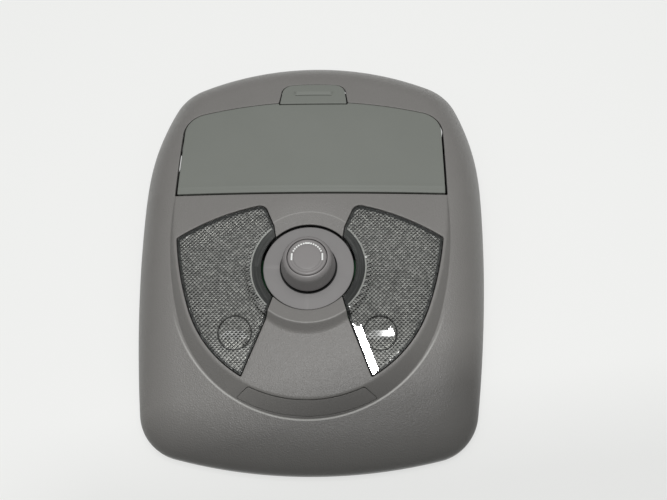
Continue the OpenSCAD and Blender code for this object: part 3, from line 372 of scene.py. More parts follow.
def mesh_piece(name, verts, faces, material, sharp=38):
    """Object from points in millimetres: doubles merged, smooth with sharp edges past an angle."""
    mesh = bpy.data.meshes.new(name)
    mesh.from_pydata((np.asarray(verts, float) * MM).tolist(), [], [tuple(map(int, f)) for f in faces])
    mesh.materials.append(material)
    obj = bpy.data.objects.new(name, mesh)
    bpy.context.scene.collection.objects.link(obj)
    bm = bmesh.new()
    bm.from_mesh(mesh)
    bmesh.ops.remove_doubles(bm, verts=bm.verts, dist=2e-7)
    bmesh.ops.recalc_face_normals(bm, faces=bm.faces)
    bm.to_mesh(mesh)
    bm.free()
    mesh.validate()
    for p in mesh.polygons:
        p.use_smooth = True
    mesh.set_sharp_from_angle(angle=math.radians(sharp))
    return obj


def middles_of(obj):
    """Middles of an object's faces in millimetres."""
    centre = np.zeros(len(obj.data.polygons) * 3)
    obj.data.polygons.foreach_get("center", centre)
    return centre.reshape(-1, 3) / MM


class Soup:
    """Faces of one piece, gathered from several shapes."""

    def __init__(self):
        self.v, self.f, self.n = [], [], 0

    def add(self, verts, faces):
        self.v.append(np.asarray(verts, float).reshape(-1, 3))
        self.f += [tuple(int(i) + self.n for i in one) for one in faces]
        self.n += len(self.v[-1])
        return self

    def lathe(self, profile, centre, segments):
        """Closed turned shape from a profile of radius and height, from the axis round to the axis."""
        profile = np.array(profile, float)
        rings, faces = [], []
        a = np.radians(np.arange(segments) * 360 / segments)
        for r, z in profile:
            if r < 1e-6:
                rings.append(np.array([[centre[0], centre[1], z]]))
            else:
                rings.append(np.column_stack([centre[0] + r * np.cos(a), centre[1] + r * np.sin(a), 0 * a + z]))
        base = np.cumsum([0] + [len(q) for q in rings])
        closed = len(rings[0]) > 1
        pairs = [(i, i + 1) for i in range(len(rings) - 1)] + ([(len(rings) - 1, 0)] if closed else [])
        for i, j in pairs:
            for k in range(segments):
                m = (k + 1) % segments
                p = [base[i] + (k if len(rings[i]) > 1 else 0), base[i] + (m if len(rings[i]) > 1 else 0),
                    base[j] + (m if len(rings[j]) > 1 else 0), base[j] + (k if len(rings[j]) > 1 else 0)]
                p = list(dict.fromkeys(p))
                if len(p) > 2:
                    faces.append(tuple(p))
        return self.add(np.concatenate(rings), faces)

    def block(self, lo, hi, r=0.3):
        """Box with chamfered upright edges and rims."""
        (x0, y0, z0), (x1, y1, z1) = lo, hi
        r = min(r, (x1 - x0) / 3, (y1 - y0) / 3, (z1 - z0) / 3)
        ring = []
        for z, d in ((z0, r), (z0 + r, 0), (z1 - r, 0), (z1, r)):
            a0, a1, b0, b1 = x0 + d, x1 - d, y0 + d, y1 - d
            ring += [(a0 + r, b0, z), (a1 - r, b0, z), (a1, b0 + r, z), (a1, b1 - r, z),
                (a1 - r, b1, z), (a0 + r, b1, z), (a0, b1 - r, z), (a0, b0 + r, z)]
        faces = [tuple(range(7, -1, -1)), tuple(range(24, 32))]
        faces += [(j + k, j + (k + 1) % 8, j + 8 + (k + 1) % 8, j + 8 + k) for j in (0, 8, 16) for k in range(8)]
        return self.add(ring, faces)

    def piece(self, name, material, **kw):
        return mesh_piece(name, np.concatenate(self.v), self.f, material, **kw)


def lattice(lo, hi, step):
    """Triangular lattice of points over a box."""
    pts = []
    for j, y in enumerate(np.arange(lo[1], hi[1], step * 0.866)):
        pts += [(x + (step / 2 if j % 2 else 0), y) for x in np.arange(lo[0], hi[0], step)]
    return np.array(pts)


def ring_set(loop, r, sign):
    """Rings beside a loop over the width of its rounding."""
    return [offset(loop, sign * k * r) for k in FILLET_STEPS]


# ---------------------------------------------------------------- shader nodes
GREY = (0.5, 0.5, 0.5, 1)


def plug(tree, value, socket):
    """Sets a socket to a plain value, or links it to what a node works out."""
    if isinstance(value, (int, float, tuple, str)):
        socket.default_value = value
    else:
        tree.links.new(getattr(value, "socket", value), socket)


def math_node(tree, how, *values):
    n = tree.nodes.new("ShaderNodeMath")
    n.operation = how
    for value, socket in zip(values, n.inputs):
        plug(tree, value, socket)
    return Value(tree, n.outputs[0])


class Value:
    """What a node works out. Sums with it add Math nodes to its tree."""

    def __init__(self, tree, socket):
        self.tree, self.socket = tree, socket

    def clamped(self):
        self.socket.node.use_clamp = True
        return self

    def __rsub__(self, other):
        return math_node(self.tree, "SUBTRACT", other, self)

    def __abs__(self):
        return math_node(self.tree, "ABSOLUTE", self)


for sign, operation in (("add", "ADD"), ("sub", "SUBTRACT"), ("mul", "MULTIPLY"), ("truediv", "DIVIDE"),
        ("pow", "POWER"), ("gt", "GREATER_THAN")):
    setattr(Value, f"__{sign}__", lambda self, other, how=operation: math_node(self.tree, how, self, other))


def add(tree, kind, out=0, **inputs):
    """Adds a node with its inputs set by name, and gives one of its outputs."""
    n = tree.nodes.new(kind)
    for key, value in inputs.items():
        plug(tree, value, n.inputs[key])
    return Value(tree, n.outputs[out])


def mix_colour(tree, factor, a, b):
    n = tree.nodes.new("ShaderNodeMix")
    n.data_type = "RGBA"
    for i, value in ((0, factor), (6, a), (7, b)):
        plug(tree, value, n.inputs[i])
    return Value(tree, n.outputs[2])


def place_on(tree, kind="Object"):
    return add(tree, "ShaderNodeTexCoord", kind)


def split(tree, vector):
    """The three parts of a vector."""
    n = tree.nodes.new("ShaderNodeSeparateXYZ")
    plug(tree, vector, n.inputs[0])
    return [Value(tree, socket) for socket in n.outputs]


def length_of(tree, a, b):
    return math_node(tree, "SQRT", a * a + b * b)


def about_knob(tree):
    """x, y, y from the knob's axis, and the distance to that axis."""
    x, y, _ = split(tree, place_on(tree))
    dy = y - KNOB_Y * MM
    return x, y, dy, length_of(tree, dy, x)


def noise_on(tree, **settings):
    return add(tree, "ShaderNodeTexNoise", Vector=place_on(tree), **settings)


def shader_group(name, inputs, outputs):
    """Empty shader group: its tree, its inputs, and a call that sets its outputs."""
    tree = bpy.data.node_groups.new(name, "ShaderNodeTree")
    for label, value in inputs.items():
        kind = "NodeSocketColor" if isinstance(value, tuple) else "NodeSocketFloat"
        tree.interface.new_socket(label, in_out="INPUT", socket_type=kind).default_value = value
    kinds = {"Colour": "NodeSocketColor", "Normal": "NodeSocketVector"}
    for label in outputs:
        tree.interface.new_socket(label, in_out="OUTPUT", socket_type=kinds.get(label, "NodeSocketFloat"))
    given = [Value(tree, s) for s in list(tree.nodes.new("NodeGroupInput").outputs)[:len(inputs)]]
    out = tree.nodes.new("NodeGroupOutput")

    def give(*values):
        for value, socket in zip(values, out.inputs):
            plug(tree, value, socket)
        return tree
    return tree, given, give


def grain_group():
    """Fine eroded grain of a moulding: a normal, and a value around one half."""
    tree, (grains, depth), give = shader_group("moulded grain", {"Grains per metre": 1500.0, "Depth": 0.00002},
        ("Normal", "Value"))
    fine = noise_on(tree, Scale=grains, Detail=2.0, Roughness=0.6)
    return give(add(tree, "ShaderNodeBump", Height=fine, Distance=depth), fine)


def wear_and_shade_group():
    """Edges rubbed lighter as wear and broken up by a soft noise, and hollows darkened as painted shade."""
    tree, (colour, rubbed_colour, hollow_colour, amount), give = shader_group("edge wear and hollow shade",
        {"Colour": GREY, "Rubbed colour": GREY, "Hollow colour": GREY, "Amount": 0.5}, ("Colour", "Mask"))
    point = add(tree, "ShaderNodeNewGeometry", "Pointiness")
    noise = noise_on(tree, Scale=120.0, Detail=3.0)
    broken = ((noise - 0.3) * 2.2).clamped()
    rubbed = ((point - 0.515) * 9.0).clamped() * broken * amount
    hollow_shade = ((0.485 - point) * 7.0).clamped() * amount
    # painted shade: hollows are darkened
    left = mix_colour(tree, hollow_shade, colour, hollow_colour)
    return give(mix_colour(tree, rubbed, left, rubbed_colour), rubbed)


def haze_group():
    """Thin handling haze in soft patches: a colour and a roughness."""
    tree, (colour, haze_colour, amount, roughness), give = shader_group("handling haze",
        {"Colour": GREY, "Haze colour": GREY, "Amount": 0.1, "Roughness": 0.5}, ("Colour", "Roughness"))
    broad = noise_on(tree, Scale=22.0, Detail=4.0, Roughness=0.6)
    share = ((broad - 0.42) * 3.0).clamped() * amount
    return give(mix_colour(tree, share, colour, haze_colour), roughness + share * 0.5)


def painted_shade_group():
    """Painted shade that deepens towards the lamp end's edge and its right side."""
    tree, (colour, least), give = shader_group("painted shade towards lamp end", {"Colour": GREY, "Least": 0.8}, ("Colour",))
    x, y, _ = split(tree, place_on(tree))
    far = x * 0.22 - y - 0.095 + noise_on(tree, Scale=14.0, Detail=3.0) * 0.02
    share = (far * 36.0).clamped()
    tone = tree.nodes.new("ShaderNodeVectorMath")
    tone.operation = "SCALE"
    plug(tree, colour, tone.inputs[0])
    plug(tree, 1.0 - share * (1.0 - least), tone.inputs["Scale"])
    return give(tone.outputs[0])


def streak_group():
    """Value in fine turned lines round the knob's axis."""
    tree, (lines,), give = shader_group("turned streaks", {"Lines per metre": 900.0}, ("Value",))
    x, _, dy, far = about_knob(tree)
    spot = add(tree, "ShaderNodeCombineXYZ", X=far * lines, Y=math_node(tree, "ARCTAN2", dy, x) * 1.1)
    noise = add(tree, "ShaderNodeTexNoise", Vector=spot, Scale=1.0, Detail=3.0)
    return give(((noise - 0.42) * 3.4).clamped())


def highlight_line_group():
    """Mask of the painted highlight lines along the foot of the step and the crest of the dish."""
    tree, (half_width,), give = shader_group("painted highlight lines", {"Half width": 0.0006}, ("Mask",))
    _, y, _, far = about_knob(tree)
    foot = y * -FOOT_HIGHLIGHT_LEAN + (FOOT_HIGHLIGHT_R - FOOT_HIGHLIGHT_LEAN * (FOOT_HIGHLIGHT_R - KNOB_Y)) * MM
    band = (1.6 - abs(far - foot) / half_width).clamped()
    low = ((-0.05 - y) * 40.0).clamped()
    ring = (1.4 - abs(far - (CREST_R + 0.35) * MM) / half_width).clamped()
    return give(math_node(tree, "MAXIMUM", band * low, ring * 0.36))


def prism_shade_group():
    """Value of each small face of the pyramids: painted shade that makes each face lighter or darker by the way it
    faces, and a random tone scattered over the cells.
    """
    tree, (cells, darkest, scatter), give = shader_group("prism facet shade",
        {"Cells per metre": 600.0, "Darkest": 0.2, "Scatter": 0.4}, ("Value",))
    x, y, _ = split(tree, place_on(tree))
    k = cells * math.sqrt(0.5)
    u, v = (x - y) * k, (x + y) * k
    fu, fv = (math_node(tree, "FRACT", w) - 0.5 for w in (u, v))
    # painted shade: each facing gets its own brightness
    facet_shade = (fu - fv > 0.0) * 0.86 + (fu + fv > 0.0) * 0.14
    cell = add(tree, "ShaderNodeCombineXYZ", X=math_node(tree, "FLOOR", u), Y=math_node(tree, "FLOOR", v))
    noise = add(tree, "ShaderNodeTexWhiteNoise", "Value", Vector=cell)
    mixed = facet_shade * (1.0 - scatter) + noise * scatter
    return give(mixed * (1.0 - darkest) + darkest)


def ring_group():
    """Value that drops on the thumb dimple's rim, on both lenses alike."""
    tree, (radius, width), give = shader_group("dimple rim", {"Ring radius": 0.0094, "Ring width": 0.0004},
        ("Value",))
    x, y, _ = split(tree, place_on(tree))
    far = length_of(tree, abs(x) - PRESS_X * MM, y - PRESS_Y * MM)
    return give((abs(far - radius) > width) * 0.92 + 0.08)


GRAIN, WEAR_AND_SHADE, HAZE, PAINTED_SHADE = grain_group(), wear_and_shade_group(), haze_group(), painted_shade_group()


# ---------------------------------------------------------------- materials
def linear(rgb):
    """Linear colour from 8-bit screen values."""
    return tuple(((c / 255 + 0.055) / 1.055) ** 2.4 if c > 10 else c / 255 / 12.92 for c in rgb) + (1.0,)


def new_material(name, rgb, **finish):
    """Material of one Principled shader with inputs set by name, its tree, shader and output."""
    m = bpy.data.materials.new(name)
    m.use_nodes = True
    m.diffuse_color = linear(rgb)
    tree = m.node_tree
    tree.nodes.clear()
    out, bsdf = (tree.nodes.new("ShaderNode" + kind) for kind in ("OutputMaterial", "BsdfPrincipled"))
    tree.links.new(bsdf.outputs[0], out.inputs["Surface"])
    for key, value in finish.items():
        bsdf.inputs[key.replace("_", " ")].default_value = value
    return m, tree, bsdf, out


def use(tree, shared, **values):
    """Outputs of a shared group in a material, with its inputs set by name."""
    n = tree.nodes.new("ShaderNodeGroup")
    n.node_tree = shared
    for key, value in values.items():
        plug(tree, value, n.inputs[key.replace("_", " ").capitalize()])
    return [Value(tree, socket) for socket in n.outputs]


def moulded(name, rgb, rough=0.45, grains=1500.0, depth=0.00002, wear=0.4, haze=0.08, painted_shade_least=None):
    """Moulded plastic or rubber: grain, worn edges, painted shade in hollows and haze over one colour, and painted
    shade towards the lamp end where asked.
    """
    m, tree, bsdf, _ = new_material(name, rgb)
    light, dark = linear([min(255, c + 26) for c in rgb]), linear([c * 0.6 for c in rgb])
    worn, _ = use(tree, WEAR_AND_SHADE, colour=linear(rgb), rubbed_colour=light, hollow_colour=dark, amount=wear)
    shade, roughness = use(tree, HAZE, colour=worn, haze_colour=light, amount=haze, roughness=rough)
    normal, _ = use(tree, GRAIN, grains_per_metre=grains, depth=depth)
    # painted shade: the colour darkens towards the lamp end's edge
    if painted_shade_least:
        shade, = use(tree, PAINTED_SHADE, colour=shade, least=painted_shade_least)
    plug(tree, shade, bsdf.inputs["Base Color"])
    plug(tree, roughness, bsdf.inputs["Roughness"])
    plug(tree, normal, bsdf.inputs["Normal"])
    return m


def metal(name, rgb, rough=0.35):
    m, tree, bsdf, _ = new_material(name, rgb, Base_Color=linear(rgb), Metallic=1.0, Roughness=rough)
    normal, _ = use(tree, GRAIN, grains_per_metre=700.0, depth=0.000004)
    plug(tree, normal, bsdf.inputs["Normal"])
    return m


def mix_shaders(tree, factor, a, b, out):
    n = tree.nodes.new("ShaderNodeMixShader")
    for value, socket in zip((factor, a, b), n.inputs):
        plug(tree, value, socket)
    tree.links.new(n.outputs[0], out.inputs["Surface"])


def clear(name, rgb, ior=1.62):
    """Clear moulding: glassy, and open to shadow rays so that what lies under it is lit."""
    m, tree, bsdf, out = new_material(name, rgb, Base_Color=linear(rgb), Roughness=0.03, IOR=ior,
        Transmission_Weight=1.0)
    is_open = add(tree, "ShaderNodeBsdfTransparent", Color=linear(rgb))
    mix_shaders(tree, add(tree, "ShaderNodeLightPath", "Is Shadow Ray"), bsdf.outputs[0], is_open, out)
    return m


def streaked(name, dark, light):
    """Moulding painted dark as painted shade, with fine turned lines."""
    m, tree, bsdf, _ = new_material(name, dark, Roughness=0.3)
    lines, = use(tree, streak_group(), lines_per_metre=900.0)
    plug(tree, mix_colour(tree, lines, linear(dark), linear(light)), bsdf.inputs["Base Color"])
    return m


def principled(m):
    return next(n for n in m.node_tree.nodes if n.type == "BSDF_PRINCIPLED")


def add_painted_highlights(m, rgb, amount):
    """Lays the painted highlight lines over a moulding's colour."""
    tree, colour = m.node_tree, principled(m).inputs["Base Color"]
    mask, = use(tree, highlight_line_group(), half_width=0.0004)
    plug(tree, mix_colour(tree, mask * amount, colour.links[0].from_socket, linear(rgb)), colour)


def prism_finish(base, rgb):
    """The clear moulding with the painted facet shade laid over its colour, painted lighter towards the lens's lower
    tip.
    """
    m = base.copy()
    m.name = "clear prisms"
    tree, bsdf = m.node_tree, principled(m)
    cells, = use(tree, prism_shade_group(), cells_per_metre=1000 / PRISM_PITCH, darkest=0.0, scatter=0.24)
    ring, = use(tree, ring_group(), ring_radius=PRESS_R * MM, ring_width=0.45 * MM)
    _, y, _ = split(tree, place_on(tree))
    # painted light: the pattern is brighter towards the lens's lower tip
    tip_light = ((-0.058 - y) * 30.0).clamped()
    seen = cells ** (tip_light * -1.4 + 2.5) * ring * (tip_light * 0.3 + 0.7)
    plug(tree, mix_colour(tree, seen, (0.0, 0.0, 0.0, 1), linear(rgb)), bsdf.inputs["Base Color"])
    bsdf.inputs["Roughness"].default_value = 0.16
    bsdf.inputs["Transmission Weight"].default_value = 0.2
    return m


# the shell's colour is painted darker towards the lamp end as painted shade
SHELL = moulded("grey shell moulding", (126, 123, 121), rough=0.34, grains=1250.0, depth=0.00026, painted_shade_least=0.62)
# pale painted highlight lines along the step's foot and the dish's crest
add_painted_highlights(SHELL, (196, 194, 191), 0.6)
LID = moulded("grey lid moulding", (123, 125, 120), rough=0.46, depth=0.00003)
PLATE = moulded("grey bezel moulding", (134, 131, 131), rough=0.5, grains=1700.0, depth=0.000016)
KNOB = moulded("grey knob moulding", (138, 134, 134), rough=0.34, grains=1800.0, depth=0.00001)
MARKS = moulded("pale raised marks", (240, 240, 238), rough=0.35, depth=0.00001, haze=0.0)
CLEAR = clear("clear lens moulding", (232, 232, 230))
PRISM = prism_finish(CLEAR, (246, 246, 244))
SATIN = metal("satin reflector coating", (222, 222, 219), rough=0.3)
BULB = clear("bulb glass", (238, 238, 234), ior=1.5)
BLACK = moulded("black frame moulding", (34, 34, 36), rough=0.5, grains=900.0, depth=0.00003, wear=0.5)
NATURAL = moulded("natural nylon moulding", (214, 211, 199), grains=900.0, depth=0.00001)
GREEN = moulded("green circuit board", (38, 84, 54), rough=0.35, grains=500.0, depth=0.00001)
PRINTED = {"grains": 900.0, "depth": 0.00001, "wear": 0.0, "haze": 0.0}
# black painted shade for the lens border, the bezel's moat and the wall beside the bezel
SHADE_BLACK = moulded("black painted shade", (24, 25, 25), rough=0.4, **PRINTED)
# the lens's cone under the dish is painted dark as painted shade, with turned lines
SHADED_STREAKS = streaked("shaded turned lens cone", (21, 22, 22), (66, 65, 66))
# a pale band under the lens by its crest is a painted highlight
CREST_HIGHLIGHT = moulded("lens crest painted highlight", (176, 177, 175), rough=0.35, **PRINTED)
BRASS = metal("plated brass pins", (206, 180, 110), rough=0.25)
STEEL = metal("zinc-plated steel", (184, 187, 190), rough=0.36)
FELT = moulded("black felt", (26, 26, 28), rough=0.95, grains=2600.0, depth=0.0002, wear=0.0)
RUBBER = moulded("black rubber", (20, 20, 21), rough=0.7, grains=1200.0, depth=0.00003)


# ---------------------------------------------------------------- shell, lid, button, cover
LENS_OUT_R = TONGUE_R - LENS_BORDER
LENS_KNEE = np.array([LENS_WAIST_X + 3.3, -30.5])
LENS_TIP = np.array([LENS_TIP_X, -math.sqrt(LENS_OUT_R ** 2 - LENS_TIP_X ** 2)])
LENS_RUN = (LENS_TIP - LENS_KNEE) / np.hypot(*(LENS_TIP - LENS_KNEE))
DISH_RINGS = (28.5, 30, 32, 33.6, 34.4, 34.9, 35.2, 35.5, 35.8, 36.1, 36.5, 37, 37.7, 38.6, 39.6, 40.6, 41.6, 42.6,
    44)


def lens_half(g):
    """Right lens outline about the knob without its waist, from the waist's lower end round to its upper end."""
    top_c = np.array([0, -LENS_TOP_DROP])
    out_r, run = LENS_OUT_R, LENS_RUN
    beta = math.degrees(math.acos((LENS_INNER_X + LENS_INNER_ROUND) / (LENS_TOP_R - LENS_INNER_ROUND)))
    inner_c = top_c + (LENS_TOP_R - LENS_INNER_ROUND) * unit(beta)
    corner = meet(FLANK_C, FLANK_R - LENS_BORDER - g, top_c, LENS_TOP_R - g)
    w = angle_of((LENS_WAIST_X + g, math.sqrt((DISH_R + g) ** 2 - (LENS_WAIST_X + g) ** 2)))
    start = LENS_KNEE + g * np.array([-run[1], run[0]])
    q = float(start @ run)
    end = start + run * (math.sqrt(q * q - float(start @ start) + (out_r - g) ** 2) - q)
    pts = [start] + arc((0, 0), out_r - g, angle_of(end), -FLANK_A) \
        + arc(FLANK_C, FLANK_R - LENS_BORDER - g, -FLANK_A, angle_of(corner - FLANK_C))[1:-1] \
        + arc(top_c, LENS_TOP_R - g, angle_of(corner - top_c), beta) \
        + arc(inner_c, LENS_INNER_ROUND - g, beta, beta + 88)[1:] + [np.array([LENS_WAIST_X + 1.3 + g, 26])]
    return pts, w


def lens_outline(g):
    pts, w = lens_half(g)
    return facing(softened(np.array(pts + arc((0, 0), DISH_R + g, w, -w)) + [0, KNOB_Y], 1.0))


def lamp_opening():
    """Opening of the shell for both lenses and the bezel between them, as one loop."""
    pts, w = lens_half(0)
    r = DISH_R + 0.1
    pts = pts + arc((0, 0), r, w, 180 - w) + mirrored(pts) + arc((0, 0), r, 180 + w, 360 - w)
    return facing(softened(np.array(pts) + [0, KNOB_Y], 1.0))


def lid_top(side, g=0.0):
    """Last angle and middle of the lid's corner, and its top edge, moved out by g, as far as the button's side."""
    cy = LID_TOP_Y - LID_TOP_R
    a = math.degrees(math.acos((LID_W / 2 - LID_CORNER_R) / (LID_TOP_R - LID_CORNER_R)))
    corner = np.array([LID_W / 2 - LID_CORNER_R, cy + (LID_TOP_R - LID_CORNER_R) * math.sin(math.radians(a))])
    top = [p for p in arc((0, cy), LID_TOP_R + g, a, 90)[1:] if p[0] > side + 0.4]
    return a, corner, top + [np.array([side, cy + math.sqrt((LID_TOP_R + g) ** 2 - side ** 2)])]


def lid_opening():
    """Opening of the shell for the lid and the button, as one loop."""
    side = BUTTON_W / 2 + 0.75
    a, corner, top = lid_top(side, LID_EDGE_GAP)
    half = [np.array([LID_W / 2 + LID_SIDE_GAP, LID_Y - LID_HINGE_GAP])] \
        + [corner + (LID_CORNER_R + 1.2 - 0.8 * min(1, 1.3 * t)) * unit(a * t) for t in np.linspace(0, 1, 22)] + top
    half += [np.array([side - 0.85, BUTTON_SHOULDER_Y])] \
        + [BUTTON_CORNER + (BUTTON_CORNER_R + 0.7 - 0.4 * t) * unit(14 + 68 * t) for t in np.linspace(0, 1, 14)] \
        + button_end(0.3)
    return facing(softened(half + mirrored(half[:-1]), 0.8))


def lid_outline():
    """The lid's edge with the notch for the button."""
    side = BUTTON_W / 2 + BUTTON_GAP
    a, corner, top = lid_top(side)
    half = [np.array([LID_W / 2, LID_Y])] + arc(corner, LID_CORNER_R, 0, a) + top
    half += [np.array([side, BUTTON_Y - 0.75])]
    return facing(softened(half + mirrored(half), 0.7))


def tongue_rings(steps):
    """Points beside the tongue's edge at shares of the step's run."""
    out = []
    for a in np.arange(-160, -19.9, 0.75):
        for k in steps:
            y = TONGUE_R * math.sin(math.radians(a))
            out.append((TONGUE_R + k * step_run(y + KNOB_Y)) * unit(a))
    top = math.degrees(math.asin((STEP_TOP - KNOB_Y + 1.2 - FLANK_C[1]) / FLANK_R))
    for a in np.arange(-19.8, top, 0.3):
        for k in steps:
            y = FLANK_C[1] + FLANK_R * math.sin(math.radians(a))
            p = FLANK_C + (FLANK_R + k * step_run(y + KNOB_Y)) * unit(a)
            out += [p, np.array([-p[0], p[1]])]
    return np.array(out) + [0, KNOB_Y]


def skin_points():
    """Points over the skin beyond its openings' edges: rings at the rim, the step and the dish, and a lattice."""
    depths = (0.04, 0.15, 0.4, 0.8, 1.3, 1.9, 3.2, 4.2, 5.4, 6.8, 8.5, 10.5, 13, 16, 19.5, 23, 26)
    rims = [RIM[:, :2] - d * RIM[:, 2:] for d in depths]
    step = tongue_rings((-0.14, -0.06, 0, 0.05, 0.1, 0.18, 0.3, 0.5, 0.7, 0.8, 0.88, 0.93, 0.97, 1.0, 1.03, 1.07,
        1.12, 1.18, 1.25))
    dish = rings_about((0, KNOB_Y), DISH_RINGS, 0, 360, 1.6)
    fine = np.concatenate([np.concatenate(rims), step, np.array(dish)])
    grid = lattice((-109, -139), (109, 139), 2.3)
    t, run = tongue_out(grid[:, 0], grid[:, 1]), step_run(grid[:, 1])
    r = np.hypot(grid[:, 0], grid[:, 1] - KNOB_Y)
    off_step = (t < -0.25 * run - 0.6) | (t > 1.25 * run + 0.6) | (grid[:, 1] > 24)
    plain = (rim_depth(grid[:, 0], grid[:, 1]) > 27) & off_step & (r > 45)
    return np.concatenate([fine, grid[plain]])


def clear_of(holes, p):
    """Which points lie in none of the holes."""
    ok = np.ones(len(p), bool)
    for hole in holes:
        ok &= ~inside(p, hole)
    return ok


def rolled_slab(soup, loop, points, height, under, fillet):
    """Slab inside a loop, its edge rounded; the heights of its faces come from two functions."""
    def within(p):
        return inside(p, loop)
    free = points[within(points)]
    free = free[edge_gap(free, [loop]) > fillet * 1.25 + 0.15]
    rings = np.concatenate(ring_set(loop, fillet, -1))
    rings = rings[within(rings)]
    rings = rings[edge_gap(rings, [loop]) > 0.5 * FILLET_STEPS[0] * fillet]
    xy, f = triangles(np.concatenate([free, rings]), [loop], within)
    n = len(xy)
    top = height(xy) - rounding(edge_gap(xy, [loop]), fillet)
    verts = np.concatenate([np.column_stack([xy, top]), np.column_stack([xy, under(xy)])])
    walls = [(b, a, a + n, b + n) for a, b in border_edges(f).tolist()]
    soup.add(verts, f.tolist() + (f[:, ::-1] + n).tolist() + walls)


def screw_places(low, side, high):
    """Middles of the console's screws: the frame's four, the bin's four and the latch guide's two."""
    sides = (1, -1)
    return [((s * (SCREW_X - 3), -10), low) for s in sides] + [((s * (SCREW_X - 19), -104), low) for s in sides] \
        + [((s * SCREW_X, y), side) for s in sides for y in (36, 78)] + [((s * 27, 100), high) for s in sides]


def console_shell():
    holes = [lid_opening(), lamp_opening(), cover_loop(0.3)]
    outer, wall_ring = RIM[:, :2], RIM[:, :2] - WALL * RIM[:, 2:]
    free = skin_points()

    def within(p):
        return (rim_depth(p[:, 0], p[:, 1]) > -0.001) & clear_of(holes, p)
    fillet = 0.42
    free = free[within(free)]
    free = free[edge_gap(free, holes) > fillet * 1.2]
    rings = np.concatenate([q for hole in holes for q in ring_set(hole, fillet, 1)])
    rings = rings[within(rings)]
    xy, f = triangles(np.concatenate([free, rings]), [outer, wall_ring] + holes, within)
    x, y = xy[:, 0], xy[:, 1]
    depth = rim_depth(x, y)
    top = skin(x, y) - rounding(edge_gap(xy, holes), fillet)
    soup = Soup()
    n = len(xy)
    mid = rim_depth(*((xy[f[:, 0]] + xy[f[:, 1]] + xy[f[:, 2]]) / 3).T)
    inner = f[mid > WALL + 0.02]
    bottom = np.minimum(skin(x, y, WALL), top - 0.8)
    bottom = np.where(depth < WALL + 0.05, LIP_H - WALL, bottom)
    soup.add(np.column_stack([xy, top]), f)
    soup.add(np.column_stack([xy, bottom]), inner[:, ::-1])
    verts = np.concatenate([np.column_stack([xy, top]), np.column_stack([xy, bottom])])
    soup.add(verts, [(b, a, a + n, b + n) for a, b in border_edges(f).tolist() if depth[a] >= 0.02 or depth[b] >= 0.02])
    # the lip that the console stands on
    m = len(outer)
    lip = [np.column_stack([ring, np.full(m, z)]) for ring, z in ((outer, LIP_H), (outer, 0.5),
        (outer - 0.5 * RIM[:, 2:], 0), (wall_ring, 0), (wall_ring, LIP_H - WALL))]
    soup.add(np.concatenate(lip), [(j * m + i, (j + 1) * m + i, (j + 1) * m + (i + 1) % m, j * m + (i + 1) % m)
        for j in range(4) for i in range(m)])

    # screw bosses
    for (bx, by), z in screw_places(4.5, 3.5, 30):
        high = skin_at(bx, by, WALL) + 0.4
        high = min(high, skin_at(abs(bx) + 4.4, by, 0.6)) if abs(bx) > 60 else high
        hole = min(12, high - z - 1)
        soup.lathe([(1.55, z + 0.3), (1.9, z), (3.2, z), (3.45, z + 0.3), (3.4 + min(1, (high - z) / 30), high),
            (0.001, high), (0.001, z + hole), (1.55, z + hole)], (bx, by), 24)
    # stiffening ribs inside the wall
    for k in (0.03, 0.1, 0.19, 0.31, 0.4, 0.47, 0.54, 0.6, 0.69, 0.81, 0.9, 0.96):
        px, py, nx, ny = RIM[int(k * len(RIM))]
        along = np.array([-ny, nx])
        rows = []
        for d, z0 in ((WALL - 0.3, 5.5), (9, 14), (9.8, 16)):
            p = np.array([px - d * nx, py - d * ny])
            z1 = min(skin_at(*p, WALL) + 0.3, skin_at(*p) - 1.3)
            z0 = min(z0, z1 - 0.5)
            z1 = max(z1, z0 + 0.4)
            rows += [(p + along * 0.7, z0), (p - along * 0.7, z0), (p - along * 0.7, z1), (p + along * 0.7, z1)]
        faces = [(0, 1, 2, 3), (11, 10, 9, 8)] + [(4 * r + i, 4 * r + 4 + i, 4 * r + 4 + (i + 1) % 4,
            4 * r + (i + 1) % 4) for r in range(2) for i in range(4)]
        soup.add([(q[0], q[1], z) for q, z in rows], faces)
    obj = soup.piece("console_shell", SHELL)
    # the opening's wall beside the bezel is painted black as painted shade, where the bezel shades it
    obj.data.materials.append(SHADE_BLACK)
    for poly in obj.data.polygons:
        c = poly.center / MM
        if abs(poly.normal.z) < 0.35 and c.z > 28 and math.hypot(c.x, c.y - KNOB_Y) < DISH_R + 0.5:
            poly.material_index = 1
    return obj


def lid_skin():
    grid = lattice((-83, 22), (83, 95), 2.6)
    bead_rows = (1.2, 1.6, 2.0, 2.6, 3.4, 4.2, 4.8, 5.4)
    rows = np.array([(x, LID_Y + d) for d in bead_rows for x in np.arange(-81, 81.5, 1.5)])
    grid = grid[grid[:, 1] > LID_Y + 6.5]

    def height(p):
        e = np.clip((p[:, 1] - LID_Y - 1.4) / 3.2, 0, 1)
        d = p[:, 1] - LID_Y
        bead = np.exp(-((d - 2.0) / 0.5) ** 2) + np.exp(-((d - 4.5) / 0.55) ** 2)
        return face(p[:, 0], p[:, 1]) - HINGE_DIP * (1 - e * e * (3 - 2 * e)) + BEAD_H * bead

    def under(p):
        return face(p[:, 0], p[:, 1]) - LID_T - 0.2
    soup = Soup()
    rolled_slab(soup, lid_outline(), np.concatenate([rows, grid]), height, under, 0.4)
    for x, y in ((60, 36), (-60, 36), (48, 70), (-48, 70), (0, 50)):
        z = float(face(x, y)) - LID_T
        soup.lathe([(0, 34.2), (2.7, 34.2), (3.0, 34.5), (3.1, z), (0, z)], (x, y), 24)
    return soup.piece("lid_skin", LID)


